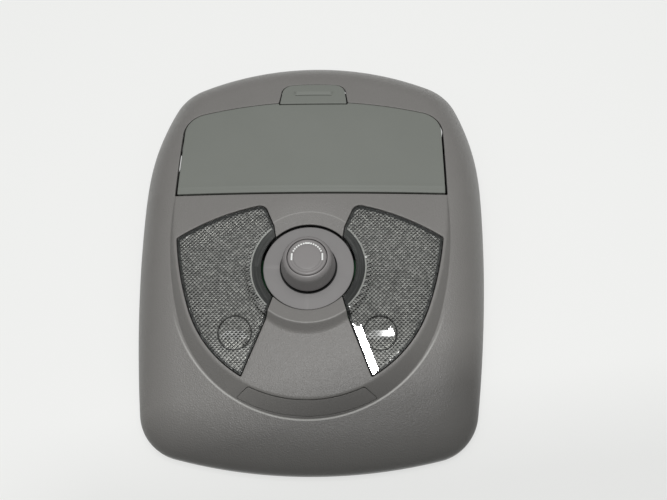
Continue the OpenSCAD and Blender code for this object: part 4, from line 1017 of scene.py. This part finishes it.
def button():
    grid = lattice((-23, 90), (23, 110), 0.8)

    def height(p):
        x, y = p[:, 0], p[:, 1]
        base = face(x, y) + 0.12 + 0.08 * np.clip((y - 92) / 3, 0, 1)
        up = y - (RIDGE_Y - x * x / RIDGE_BOW)
        ridge = np.interp(up, (-1.0, -0.8, 1.4, 1.9, 3.0), (0, 0.42, 0.97, 1.0, 0))
        ends = np.clip((13.4 - np.abs(x)) / 2.4, 0, 1)
        return base + RIDGE_H * ridge * ends * ends * (3 - 2 * ends)

    def under(p):
        return face(p[:, 0], p[:, 1]) - 2.4
    soup = Soup()
    rises = (-1.15, -1.0, -0.9, -0.8, -0.5, 0.1, 0.75, 1.25, 1.4, 1.65, 1.9, 2.4, 3.0, 3.15)
    rows = np.array([(x, RIDGE_Y - x * x / RIDGE_BOW + up) for up in rises for x in np.arange(-15, 15.1, 0.6)])
    grid = grid[(np.abs(grid[:, 0]) > 15.4) | (grid[:, 1] < BUTTON_Y + 6.2) | (grid[:, 1] > BUTTON_Y + 11.4)]
    rolled_slab(soup, button_loop(), np.concatenate([rows, grid]), height, under, 0.42)
    mid = BUTTON_Y + BUTTON_L / 2
    for s in (-1, 1):
        soup.block((s * 14.4 - 1.6, mid - 4, 24), (s * 14.4 + 1.6, mid + 4, float(face(17, mid + 4)) - 1), 0.4)
    z0, z1 = 26.0, float(face(0, mid)) - 1.5
    soup.add([(x, y - z + 28.6, z) for x in (-4, 4) for z, y in ((z0, 95.4), (z1, 95.4), (z1, 97.4), (z0, 97.4))],
        [(3, 2, 1, 0), (4, 5, 6, 7), (0, 1, 5, 4), (1, 2, 6, 5), (2, 3, 7, 6), (3, 0, 4, 7)])
    return soup.piece("push_button", LID)


def crescent():
    def height(p):
        return skin(p[:, 0], p[:, 1]) + 0.04

    def under(p):
        return skin(p[:, 0], p[:, 1]) - 1.8
    soup = Soup()
    rolled_slab(soup, cover_loop(0), lattice((-42, -112), (42, -88), 1.3), height, under, 0.3)
    for s in (-1, 1):
        low = skin_at(24.0, -101.7)
        soup.block((s * 24 - 2, -101.7, 14), (s * 24 + 2, -100.3, low - 1.2), 0.3)
        soup.block((s * 24 - 1.6, -100.5, 14.3), (s * 24 + 1.6, -99.9, 15.6), 0.25)
    return soup.piece("crescent_cover", SHELL)


# ---------------------------------------------------------------- bezel, knob and cap
def bezel():
    z, r = BEZEL_Z - 0.3, BEZEL_R
    profile = [(8.4, z - BEZEL_T), (8.4, z - 1.75), (16.75, z - 1.75), (16.8, z - 0.2), (17.0, z),
        (r - 0.5, z), (r - 0.3, z - 0.03), (r - 0.15, z - 0.14), (r - 0.03, z - 0.32), (r, z - 0.55), (r, 28.3),
        (r - 0.3, 28), (r - 1.8, 28), (r - 1.8, z - BEZEL_T)]
    obj = Soup().lathe(profile[::-1], (0, KNOB_Y), 144).piece("bezel_ring", PLATE)
    # the moat round the knob and the ring's skirt are painted black as painted shade
    obj.data.materials.append(SHADE_BLACK)
    for poly in obj.data.polygons:
        c = poly.center / MM
        far = math.hypot(c.x, c.y - KNOB_Y)
        poly.material_index = int(far < 16.79 and c.z < z - 0.3 or far > 26.5 and c.z < z - 1.2)
    return obj


def knob_body():
    z = KNOB_Z
    top = z + KNOB_H
    side = [(15.35, 0), (15.75, 0.15), (15.9, 0.55), (15.9, 1.5), (15.82, 2.2), (15.68, 3.1), (15.48, 4.4),
        (15.22, 6.0), (14.98, 7.6), (14.74, 8.9), (14.52, 9.8), (14.28, 10.6), (13.95, 11.4), (13.45, 12.1),
        (12.85, 12.62)]
    rim = [(12.4, top - 0.12), (12.0, top - 0.02), (11.85, top), (11.72, top - 0.12), (11.68, top - 0.4)]
    inner = [(11.68, 46.0), (3.2, 46.0), (3.2, 45.0), (12.2, 44.4), (12.7, 44.0), (12.7, z + 0.6), (12.9, z)]
    profile = [(r, z + up) for r, up in side] + rim + inner
    return Soup().lathe(profile, (0, KNOB_Y), 128).piece("knob_body", KNOB)


def push_cap():
    profile = [(0, 47.3), (11.0, 47.3), (11.3, 47.6), (11.3, 48.8), (11.24, 49.2), (11.1, 49.5), (10.9, 49.7),
        (10.65, 49.84), (10.4, 49.92), (10.15, 49.96), (9.9, 49.98), (9.7, 49.94), (9.55, 49.84), (9.4, 49.7),
        (9.1, 49.62), (8.4, 49.6), (8.1, 49.66), (7.95, 49.8), (7.8, 49.92), (7.5, 50.0), (6.0, 50.04), (3.5, 50.07),
        (0, 50.09)]
    return Soup().lathe(profile, (0, KNOB_Y), 128).piece("push_cap", KNOB)


def repeat_group():
    """Geometry group: one shape at every point, turned and stretched by the point's own values, as one mesh."""
    tree = bpy.data.node_groups.new("repeat shape", "GeometryNodeTree")
    for label, kind, how in (("Points", "Geometry", "INPUT"), ("Shape", "Object", "INPUT"),
            ("Material", "Material", "INPUT"), ("Geometry", "Geometry", "OUTPUT")):
        tree.interface.new_socket(label, in_out=how, socket_type="NodeSocket" + kind)
    given = tree.nodes.new("NodeGroupInput").outputs
    turn, length = (add(tree, "GeometryNodeInputNamedAttribute", Name=name) for name in ("turn", "long"))
    made = add(tree, "GeometryNodeInstanceOnPoints", Points=given["Points"],
        Instance=add(tree, "GeometryNodeObjectInfo", "Geometry", Object=given["Shape"]),
        Rotation=add(tree, "ShaderNodeCombineXYZ", Z=turn),
        Scale=add(tree, "ShaderNodeCombineXYZ", X=length, Y=1.0, Z=1.0))
    made = add(tree, "GeometryNodeRealizeInstances", Geometry=made)
    made = add(tree, "GeometryNodeSetMaterial", Geometry=made, Material=given["Material"])
    plug(tree, made, tree.nodes.new("NodeGroupOutput").inputs[0])
    return tree


REPEAT = repeat_group()


def repeated(name, shape, points, turns, material, long=None):
    """Object made of a shape at points in millimetres, through the geometry group."""
    mesh = bpy.data.meshes.new(name)
    mesh.from_pydata([tuple(c * MM for c in p) for p in points], [], [])
    for label, values in (("turn", turns), ("long", long or [1.0] * len(points))):
        mesh.attributes.new(label, "FLOAT", "POINT").data.foreach_set("value", values)
    obj = bpy.data.objects.new(name, mesh)
    bpy.context.scene.collection.objects.link(obj)
    mod = obj.modifiers.new("repeat", "NODES")
    mod.node_group = REPEAT
    ids = {s.name: s.identifier for s in REPEAT.interface.items_tree if s.in_out == "INPUT"}
    mod[ids["Shape"]], mod[ids["Material"]] = shape, material
    bpy.context.view_layer.update()
    made = bpy.data.meshes.new_from_object(obj.evaluated_get(bpy.context.evaluated_depsgraph_get()))
    obj.modifiers.clear()
    obj.data = made
    made.name = name
    bpy.data.objects.remove(shape, do_unlink=True)
    return obj


def screw_heads():
    """Pan heads over the plain screws of the solids, heads on the back side."""
    profile = [(0, -1.42), (1.1, -1.42), (1.9, -1.36), (2.5, -1.12), (2.9, -0.7), (3.05, -0.15), (3.05, 0.02),
        (0, 0.02)]
    shape = Soup().lathe(profile, (0, 0), 28).piece("head_shape", STEEL)
    at = [(x, y, z) for (x, y), z in screw_places(2, 1.5, 28)]
    return repeated("screw_heads", shape, at, [0.4 * i for i in range(len(at))], STEEL)


# ---------------------------------------------------------------- lenses
def prism_lattice(lo, hi):
    """Corners of a square lattice turned by 45 degrees inside a box, their lattice numbers, and its middles."""
    n = int(240 / PRISM_PITCH)
    k = np.arange(-n, n + 1)
    ij = np.stack(np.meshgrid(k, k, indexing="ij"), -1).reshape(-1, 2)
    turn = np.array([[1, 1], [-1, 1]]) * math.sqrt(0.5)

    def boxed(q):
        xy = (q * PRISM_PITCH) @ turn
        ok = ((xy > lo) & (xy < hi)).all(1)
        return xy[ok], q[ok]
    corners, numbers = boxed(ij)
    return corners, numbers, boxed(ij + 0.5)[0]


def pyramid(p):
    """Share of the pyramids' depth at a point: 1 in the middle of a cell, 0 on its border."""
    u = (p[:, 0] - p[:, 1]) * math.sqrt(0.5) / PRISM_PITCH
    v = (p[:, 0] + p[:, 1]) * math.sqrt(0.5) / PRISM_PITCH
    fu, fv = np.abs(u - np.floor(u) - 0.5), np.abs(v - np.floor(v) - 0.5)
    return 1 - 2 * np.maximum(fu, fv)


def lens(side):
    """Clear lens: smooth outer face with a thumb dimple and a flat strip, pyramids moulded into its underside."""
    outline = lens_outline(LENS_GAP)
    knee, along = LENS_KNEE + [0, KNOB_Y], LENS_RUN
    into = np.array([-along[1], along[0]])
    mid = knee + along * 20 + into * 4.6
    mid_z = skin_at(*mid)

    def within(p):
        return inside(p, outline)

    def from_knob(p):
        return np.hypot(p[:, 0], p[:, 1] - KNOB_Y)

    def height(p):
        x, y = p[:, 0], p[:, 1]
        z = skin(x, y)
        rho = np.hypot(x - PRESS_X, y - PRESS_Y)
        v = (y - PRESS_Y) / PRESS_R
        deep = 0.12 + PRESS_DEPTH * np.clip(np.minimum((1 - v) / 1.2, (v + 1) / 0.8), 0, 1)
        deep = deep * (1 - 0.4 * ((x - PRESS_X) / PRESS_R) ** 2) * np.clip(3.5 * (1 - (rho / PRESS_R) ** 2), 0, 1)
        z = z - deep - 0.1 * np.clip(1 - np.abs(rho - PRESS_R - 0.1) / 0.28, 0, 1)
        flat = mid_z - 0.1 + STRIP_LEAN_X * (x - mid[0]) + STRIP_LEAN_Y * (y - mid[1]) \
            + STRIP_BOW * ((p - mid) @ along) ** 2
        share = np.clip((STRIP_W - (p - knee) @ into) / 0.3, 0, 1) * np.clip((STRIP_TOP_Y - y) / 0.8, 0, 1)
        return z + (flat - z) * share

    def under(p):
        return skin(p[:, 0], p[:, 1]) - LENS_T
    soup = Soup()
    lo, hi = outline.min(0), outline.max(0)
    grid = lattice(lo - 1, hi + 1, 1.9)
    rho = np.hypot(grid[:, 0] - PRESS_X, grid[:, 1] - PRESS_Y)
    off_strip = np.abs((grid - knee) @ into - STRIP_W + 0.15) > 0.8
    grid = grid[((rho < PRESS_R - 2.9) | (rho > PRESS_R + 1.1)) & (from_knob(grid) > 45) & off_strip]
    rings = rings_about((PRESS_X, PRESS_Y), [PRESS_R + k for k in (-2.4, -1.6, -1.0, -0.5, -0.18, 0.1, 0.38, 0.6)],
        0, 360, 3.6)
    rings += rings_about((0, KNOB_Y), DISH_RINGS, -70, 70, 1.6)
    rings += [knee + along * s + into * (STRIP_W + k) for k in (-0.5, -0.3, 0, 0.2) for s in np.arange(-2, 42, 0.8)]
    fillet = 0.5
    free = np.concatenate([np.array(rings), grid])
    free = free[within(free)]
    free = free[edge_gap(free, [outline]) > fillet * 1.3]
    edge = np.concatenate(ring_set(outline, fillet, -1))
    xy, f = triangles(np.concatenate([free, edge[within(edge)]]), [outline], within)
    soup.add(np.column_stack([xy, height(xy) - rounding(edge_gap(xy, [outline]), fillet)]), f)

    inner = facing(thinned(offset(outline, -SHADE_BORDER_W), 0.45))
    inner = inner[edge_gap(inner, [outline], 3.0) > SHADE_BORDER_W - 0.12]

    def open_area(p):
        return inside(p, inner) & (from_knob(p) > MASK_R)

    def patterned(p, margin):
        return open_area(p) & (edge_gap(p, [inner], 1.0) > margin) & (from_knob(p) > MASK_R + margin)
    corners, numbers, middles = prism_lattice(lo, hi)
    ok = patterned(corners, 0.3)
    corners, numbers = corners[ok], numbers[ok]
    middles = middles[patterned(middles, 0.3)]
    index = {(i, j): k for k, (i, j) in enumerate(numbers.tolist())}
    edges = [(k, index[q]) for (i, j), k in index.items() for q in ((i + 1, j), (i, j + 1)) if q in index]
    circle = []
    for q in (MASK_R, MASK_R - CREST_BAND, 32.0, 30.5):
        run = np.array(rings_about((0, KNOB_Y), [q], -70, 70, 1.2))
        run = run[inside(run, inner)]
        base = len(corners) + len(middles) + len(circle)
        edges += [(base + i, base + i + 1) for i in range(len(run) - 1)]
        circle += list(run)
    uv, f = triangles(np.concatenate([corners, middles, circle]), [inner, outline], within, edges)
    soup.add(np.column_stack([uv, under(uv) + PRISM_DEPTH * pyramid(uv) * patterned(uv, -0.05)]), f[:, ::-1])
    # both faces share the outline's own points, so the wall between them closes the lens
    k = len(outline)
    wall = [np.column_stack([outline, z]) for z in (height(outline) - fillet, under(outline))]
    soup.add(np.concatenate(wall), [(i + k, (i + 1) % k + k, (i + 1) % k, i) for i in range(k)])
    obj = soup.piece("lens_" + side + "_clear", CLEAR, sharp=5)
    # the border of the underside and the cone beside the bezel are painted dark as painted shade, a band by the crest
    # gets a pale painted highlight, the pyramids have their own finish
    kinds = (CLEAR, SHADE_BLACK, PRISM, SHADED_STREAKS, CREST_HIGHLIGHT)
    for material in kinds[1:]:
        obj.data.materials.append(material)
    centre = middles_of(obj)
    low = centre[:, 2] < skin(centre[:, 0], centre[:, 1]) - 0.95
    c = centre[low, :2]
    far = from_knob(c)
    cone = np.where(far < MASK_R - CREST_BAND, kinds.index(SHADED_STREAKS), kinds.index(CREST_HIGHLIGHT))
    shut = np.where(inside(c, inner) & (far < MASK_R), cone, kinds.index(SHADE_BLACK))
    kind = np.zeros(len(centre), int)
    kind[low] = np.where(open_area(c), kinds.index(PRISM), shut)
    obj.data.polygons.foreach_set("material_index", kind)
    if side == "left":
        for v in obj.data.vertices:
            v.co.x = -v.co.x
        obj.data.flip_normals()
    return obj


# ---------------------------------------------------------------- the console put together
def place(obj, body, slot, *replaced):
    if replaced:
        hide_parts(*replaced)
    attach(obj, body)
    return obj


place(console_shell(), "housing", "shell_plastic", "shell")
place(crescent(), "housing", "shell_plastic", "screw_cover")
place(bezel(), "housing", "lid_plastic", "switch_bezel")
place(lid_skin(), "lid", "lid_plastic", "lid_panel")
place(button(), "latch_button", "lid_plastic", "latch_button")
place(knob_body(), "knob", "knob_plastic", "knob")
place(push_cap(), "knob_cap", "knob_plastic", "knob_cap")
place(lens("right"), "lens_right", "clear_lens", "lens_right")
place(lens("left"), "lens_left", "clear_lens", "lens_left")

mark = Soup().block((-0.5, -0.48, -0.06), (0.5, 0.48, 0.1), 0.06).piece("mark_shape", MARKS)
angles = list(range(26, 78, 10)) + [90] + list(range(104, 156, 10)) + [1, 179]
MARKS_R, MARKS_Z = 8.75, 49.66
spots = [(*(MARKS_R * unit(a) + [0, KNOB_Y]), MARKS_Z) for a in angles]
marks = repeated("cap_marks", mark, spots, [math.radians(a + 90) for a in angles], MARKS,
    long=[1.0] * 6 + [2.8] + [1.0] * 6 + [4.4, 4.4])
place(marks, "knob_cap", "knob_plastic")
place(screw_heads(), "housing", "steel")

finishes = {BLACK: ("rear_frame", "switch_body", "bin_housing", "damper_body", "glasses_tray", "lid_striker",
        "latch_guide", "bulb_holder_left", "bulb_holder_right", "lamp_switch_left", "lamp_switch_right"),
    NATURAL: ("connector_socket", "latch_hook", "damper_rotor", "plunger_left", "plunger_right"),
    SATIN: ("reflector_left", "reflector_right"), BULB: ("bulb_left", "bulb_right"), GREEN: ("circuit_board",),
    BRASS: ("connector_pins",), FELT: ("tray_liner",), RUBBER: ("lid_bumpers",),
    STEEL: ("knob_shaft", "pivot_pin", "hinge_arm_left", "hinge_arm_right", "latch_springs", "frame_screws",
        "mounting_clips")}
for material, names in finishes.items():
    for slot in (slot for name in names for slot in nodes[name].material_slots):
        slot.link, slot.material = "OBJECT", material

# ---------------------------------------------------------------- floor, light and camera
def staged_sheet(name, corners, material):
    """Flat sheet that isn't part of the object."""
    mesh = bpy.data.meshes.new(name)
    mesh.from_pydata(corners, [], [(0, 1, 2, 3)])
    mesh.materials.append(material)
    obj = bpy.data.objects.new(name, mesh)
    bpy.context.scene.collection.objects.link(obj)
    return obj


# the floor glows for the camera and in reflections, except under the console, where its gaps would show it
UNDER_SHARE, FLOOR_HALF = 0.93, 12
pale, tree, bsdf, out = new_material("pale floor", (150, 150, 149), Base_Color=linear((150, 150, 149)),
    Emission_Strength=0.6, Roughness=0.9, Specular_IOR_Level=0.1)
x, y, _ = split(tree, place_on(tree))
beside = (abs(x) / (UNDER_SHARE * HALF_W * MM)) ** 2.5 + (abs(y) / (UNDER_SHARE * HALF_L * MM)) ** 2.5 > 1.0
plug(tree, mix_colour(tree, beside, (0.0, 0.0, 0.0, 1), (1.0, 1.0, 0.99, 1)), bsdf.inputs["Emission Color"])
path = tree.nodes.new("ShaderNodeLightPath").outputs
seen = math_node(tree, "MAXIMUM", path["Is Camera Ray"], path["Is Glossy Ray"])
seen = math_node(tree, "MAXIMUM", seen, path["Is Transmission Ray"])
matt = add(tree, "ShaderNodeBsdfDiffuse", Color=linear((96, 108, 96)))
mix_shaders(tree, seen, matt, bsdf.outputs[0], out)
pale.cycles.emission_sampling = "NONE"
staged_sheet("floor", [(a * FLOOR_HALF, b * FLOOR_HALF, 0) for a, b in ((-1, -1), (1, -1), (1, 1), (-1, 1))], pale)

world = bpy.data.worlds.new("soft room")
bpy.context.scene.world = world
world.use_nodes = True
tree = world.node_tree
x, y, z = split(tree, place_on(tree, "Generated"))
level = math_node(tree, "MAXIMUM", z * 0.95 + 0.02 + y * -0.04 + x * 0.04, 0.04)
background = tree.nodes["Background"].inputs
background[0].default_value = (0.95, 1.0, 0.97, 1)
plug(tree, level * 0.5, background[1])


def aimed(at, aim):
    """Place at a point, looking at another one."""
    at, aim = Vector(at), Vector(aim)
    return Matrix.Translation(at) @ (aim - at).to_track_quat("-Z", "Y").to_matrix().to_4x4()


def lamp(name, at, aim, size, watts):
    """Area lamp at a point, turned to another one."""
    data = bpy.data.lights.new(name, "AREA")
    data.shape, data.size, data.size_y, data.energy = "RECTANGLE", size[0], size[1], watts
    obj = bpy.data.objects.new(name, data)
    obj.matrix_world = aimed(at, aim)
    bpy.context.scene.collection.objects.link(obj)
    return obj


lamp("ceiling lamp", (0.02, -0.175, 1.03), (0.02, -0.175, 0), (0.12, 0.08), 3.2)
window = lamp("window", (0.02, 0.24, 1.45), (0, 0, 0.03), (1.2, 0.9), 7.6)
window.visible_glossy = window.visible_transmission = False

# a flag that shades the near end, as whoever takes the picture does
flag = staged_sheet("flag", [(-0.085, -0.205, 0.43), (0.17, -0.185, 0.43), (0.17, -0.124, 0.43),
    (-0.085, -0.156, 0.43)], BLACK)
flag.visible_camera = False

data = bpy.data.cameras.new("camera")
camera = bpy.data.objects.new("camera", data)
bpy.context.scene.collection.objects.link(camera)
camera.matrix_world = Matrix((
    (0.99947897, 0.00295384, 0.03214124, 0.0281988),
    (0.0115598, 0.89698793, -0.44190386, -0.2029508),
    (-0.03013562, 0.44204516, 0.89648643, 0.4173602),
    (0, 0, 0, 1)))
data.lens, data.sensor_width, data.sensor_fit = 38.86, 36.0, "HORIZONTAL"
data.clip_start, data.clip_end = 0.01, 20.0
scene = bpy.context.scene
scene.camera = camera
scene.view_settings.view_transform = "Standard"
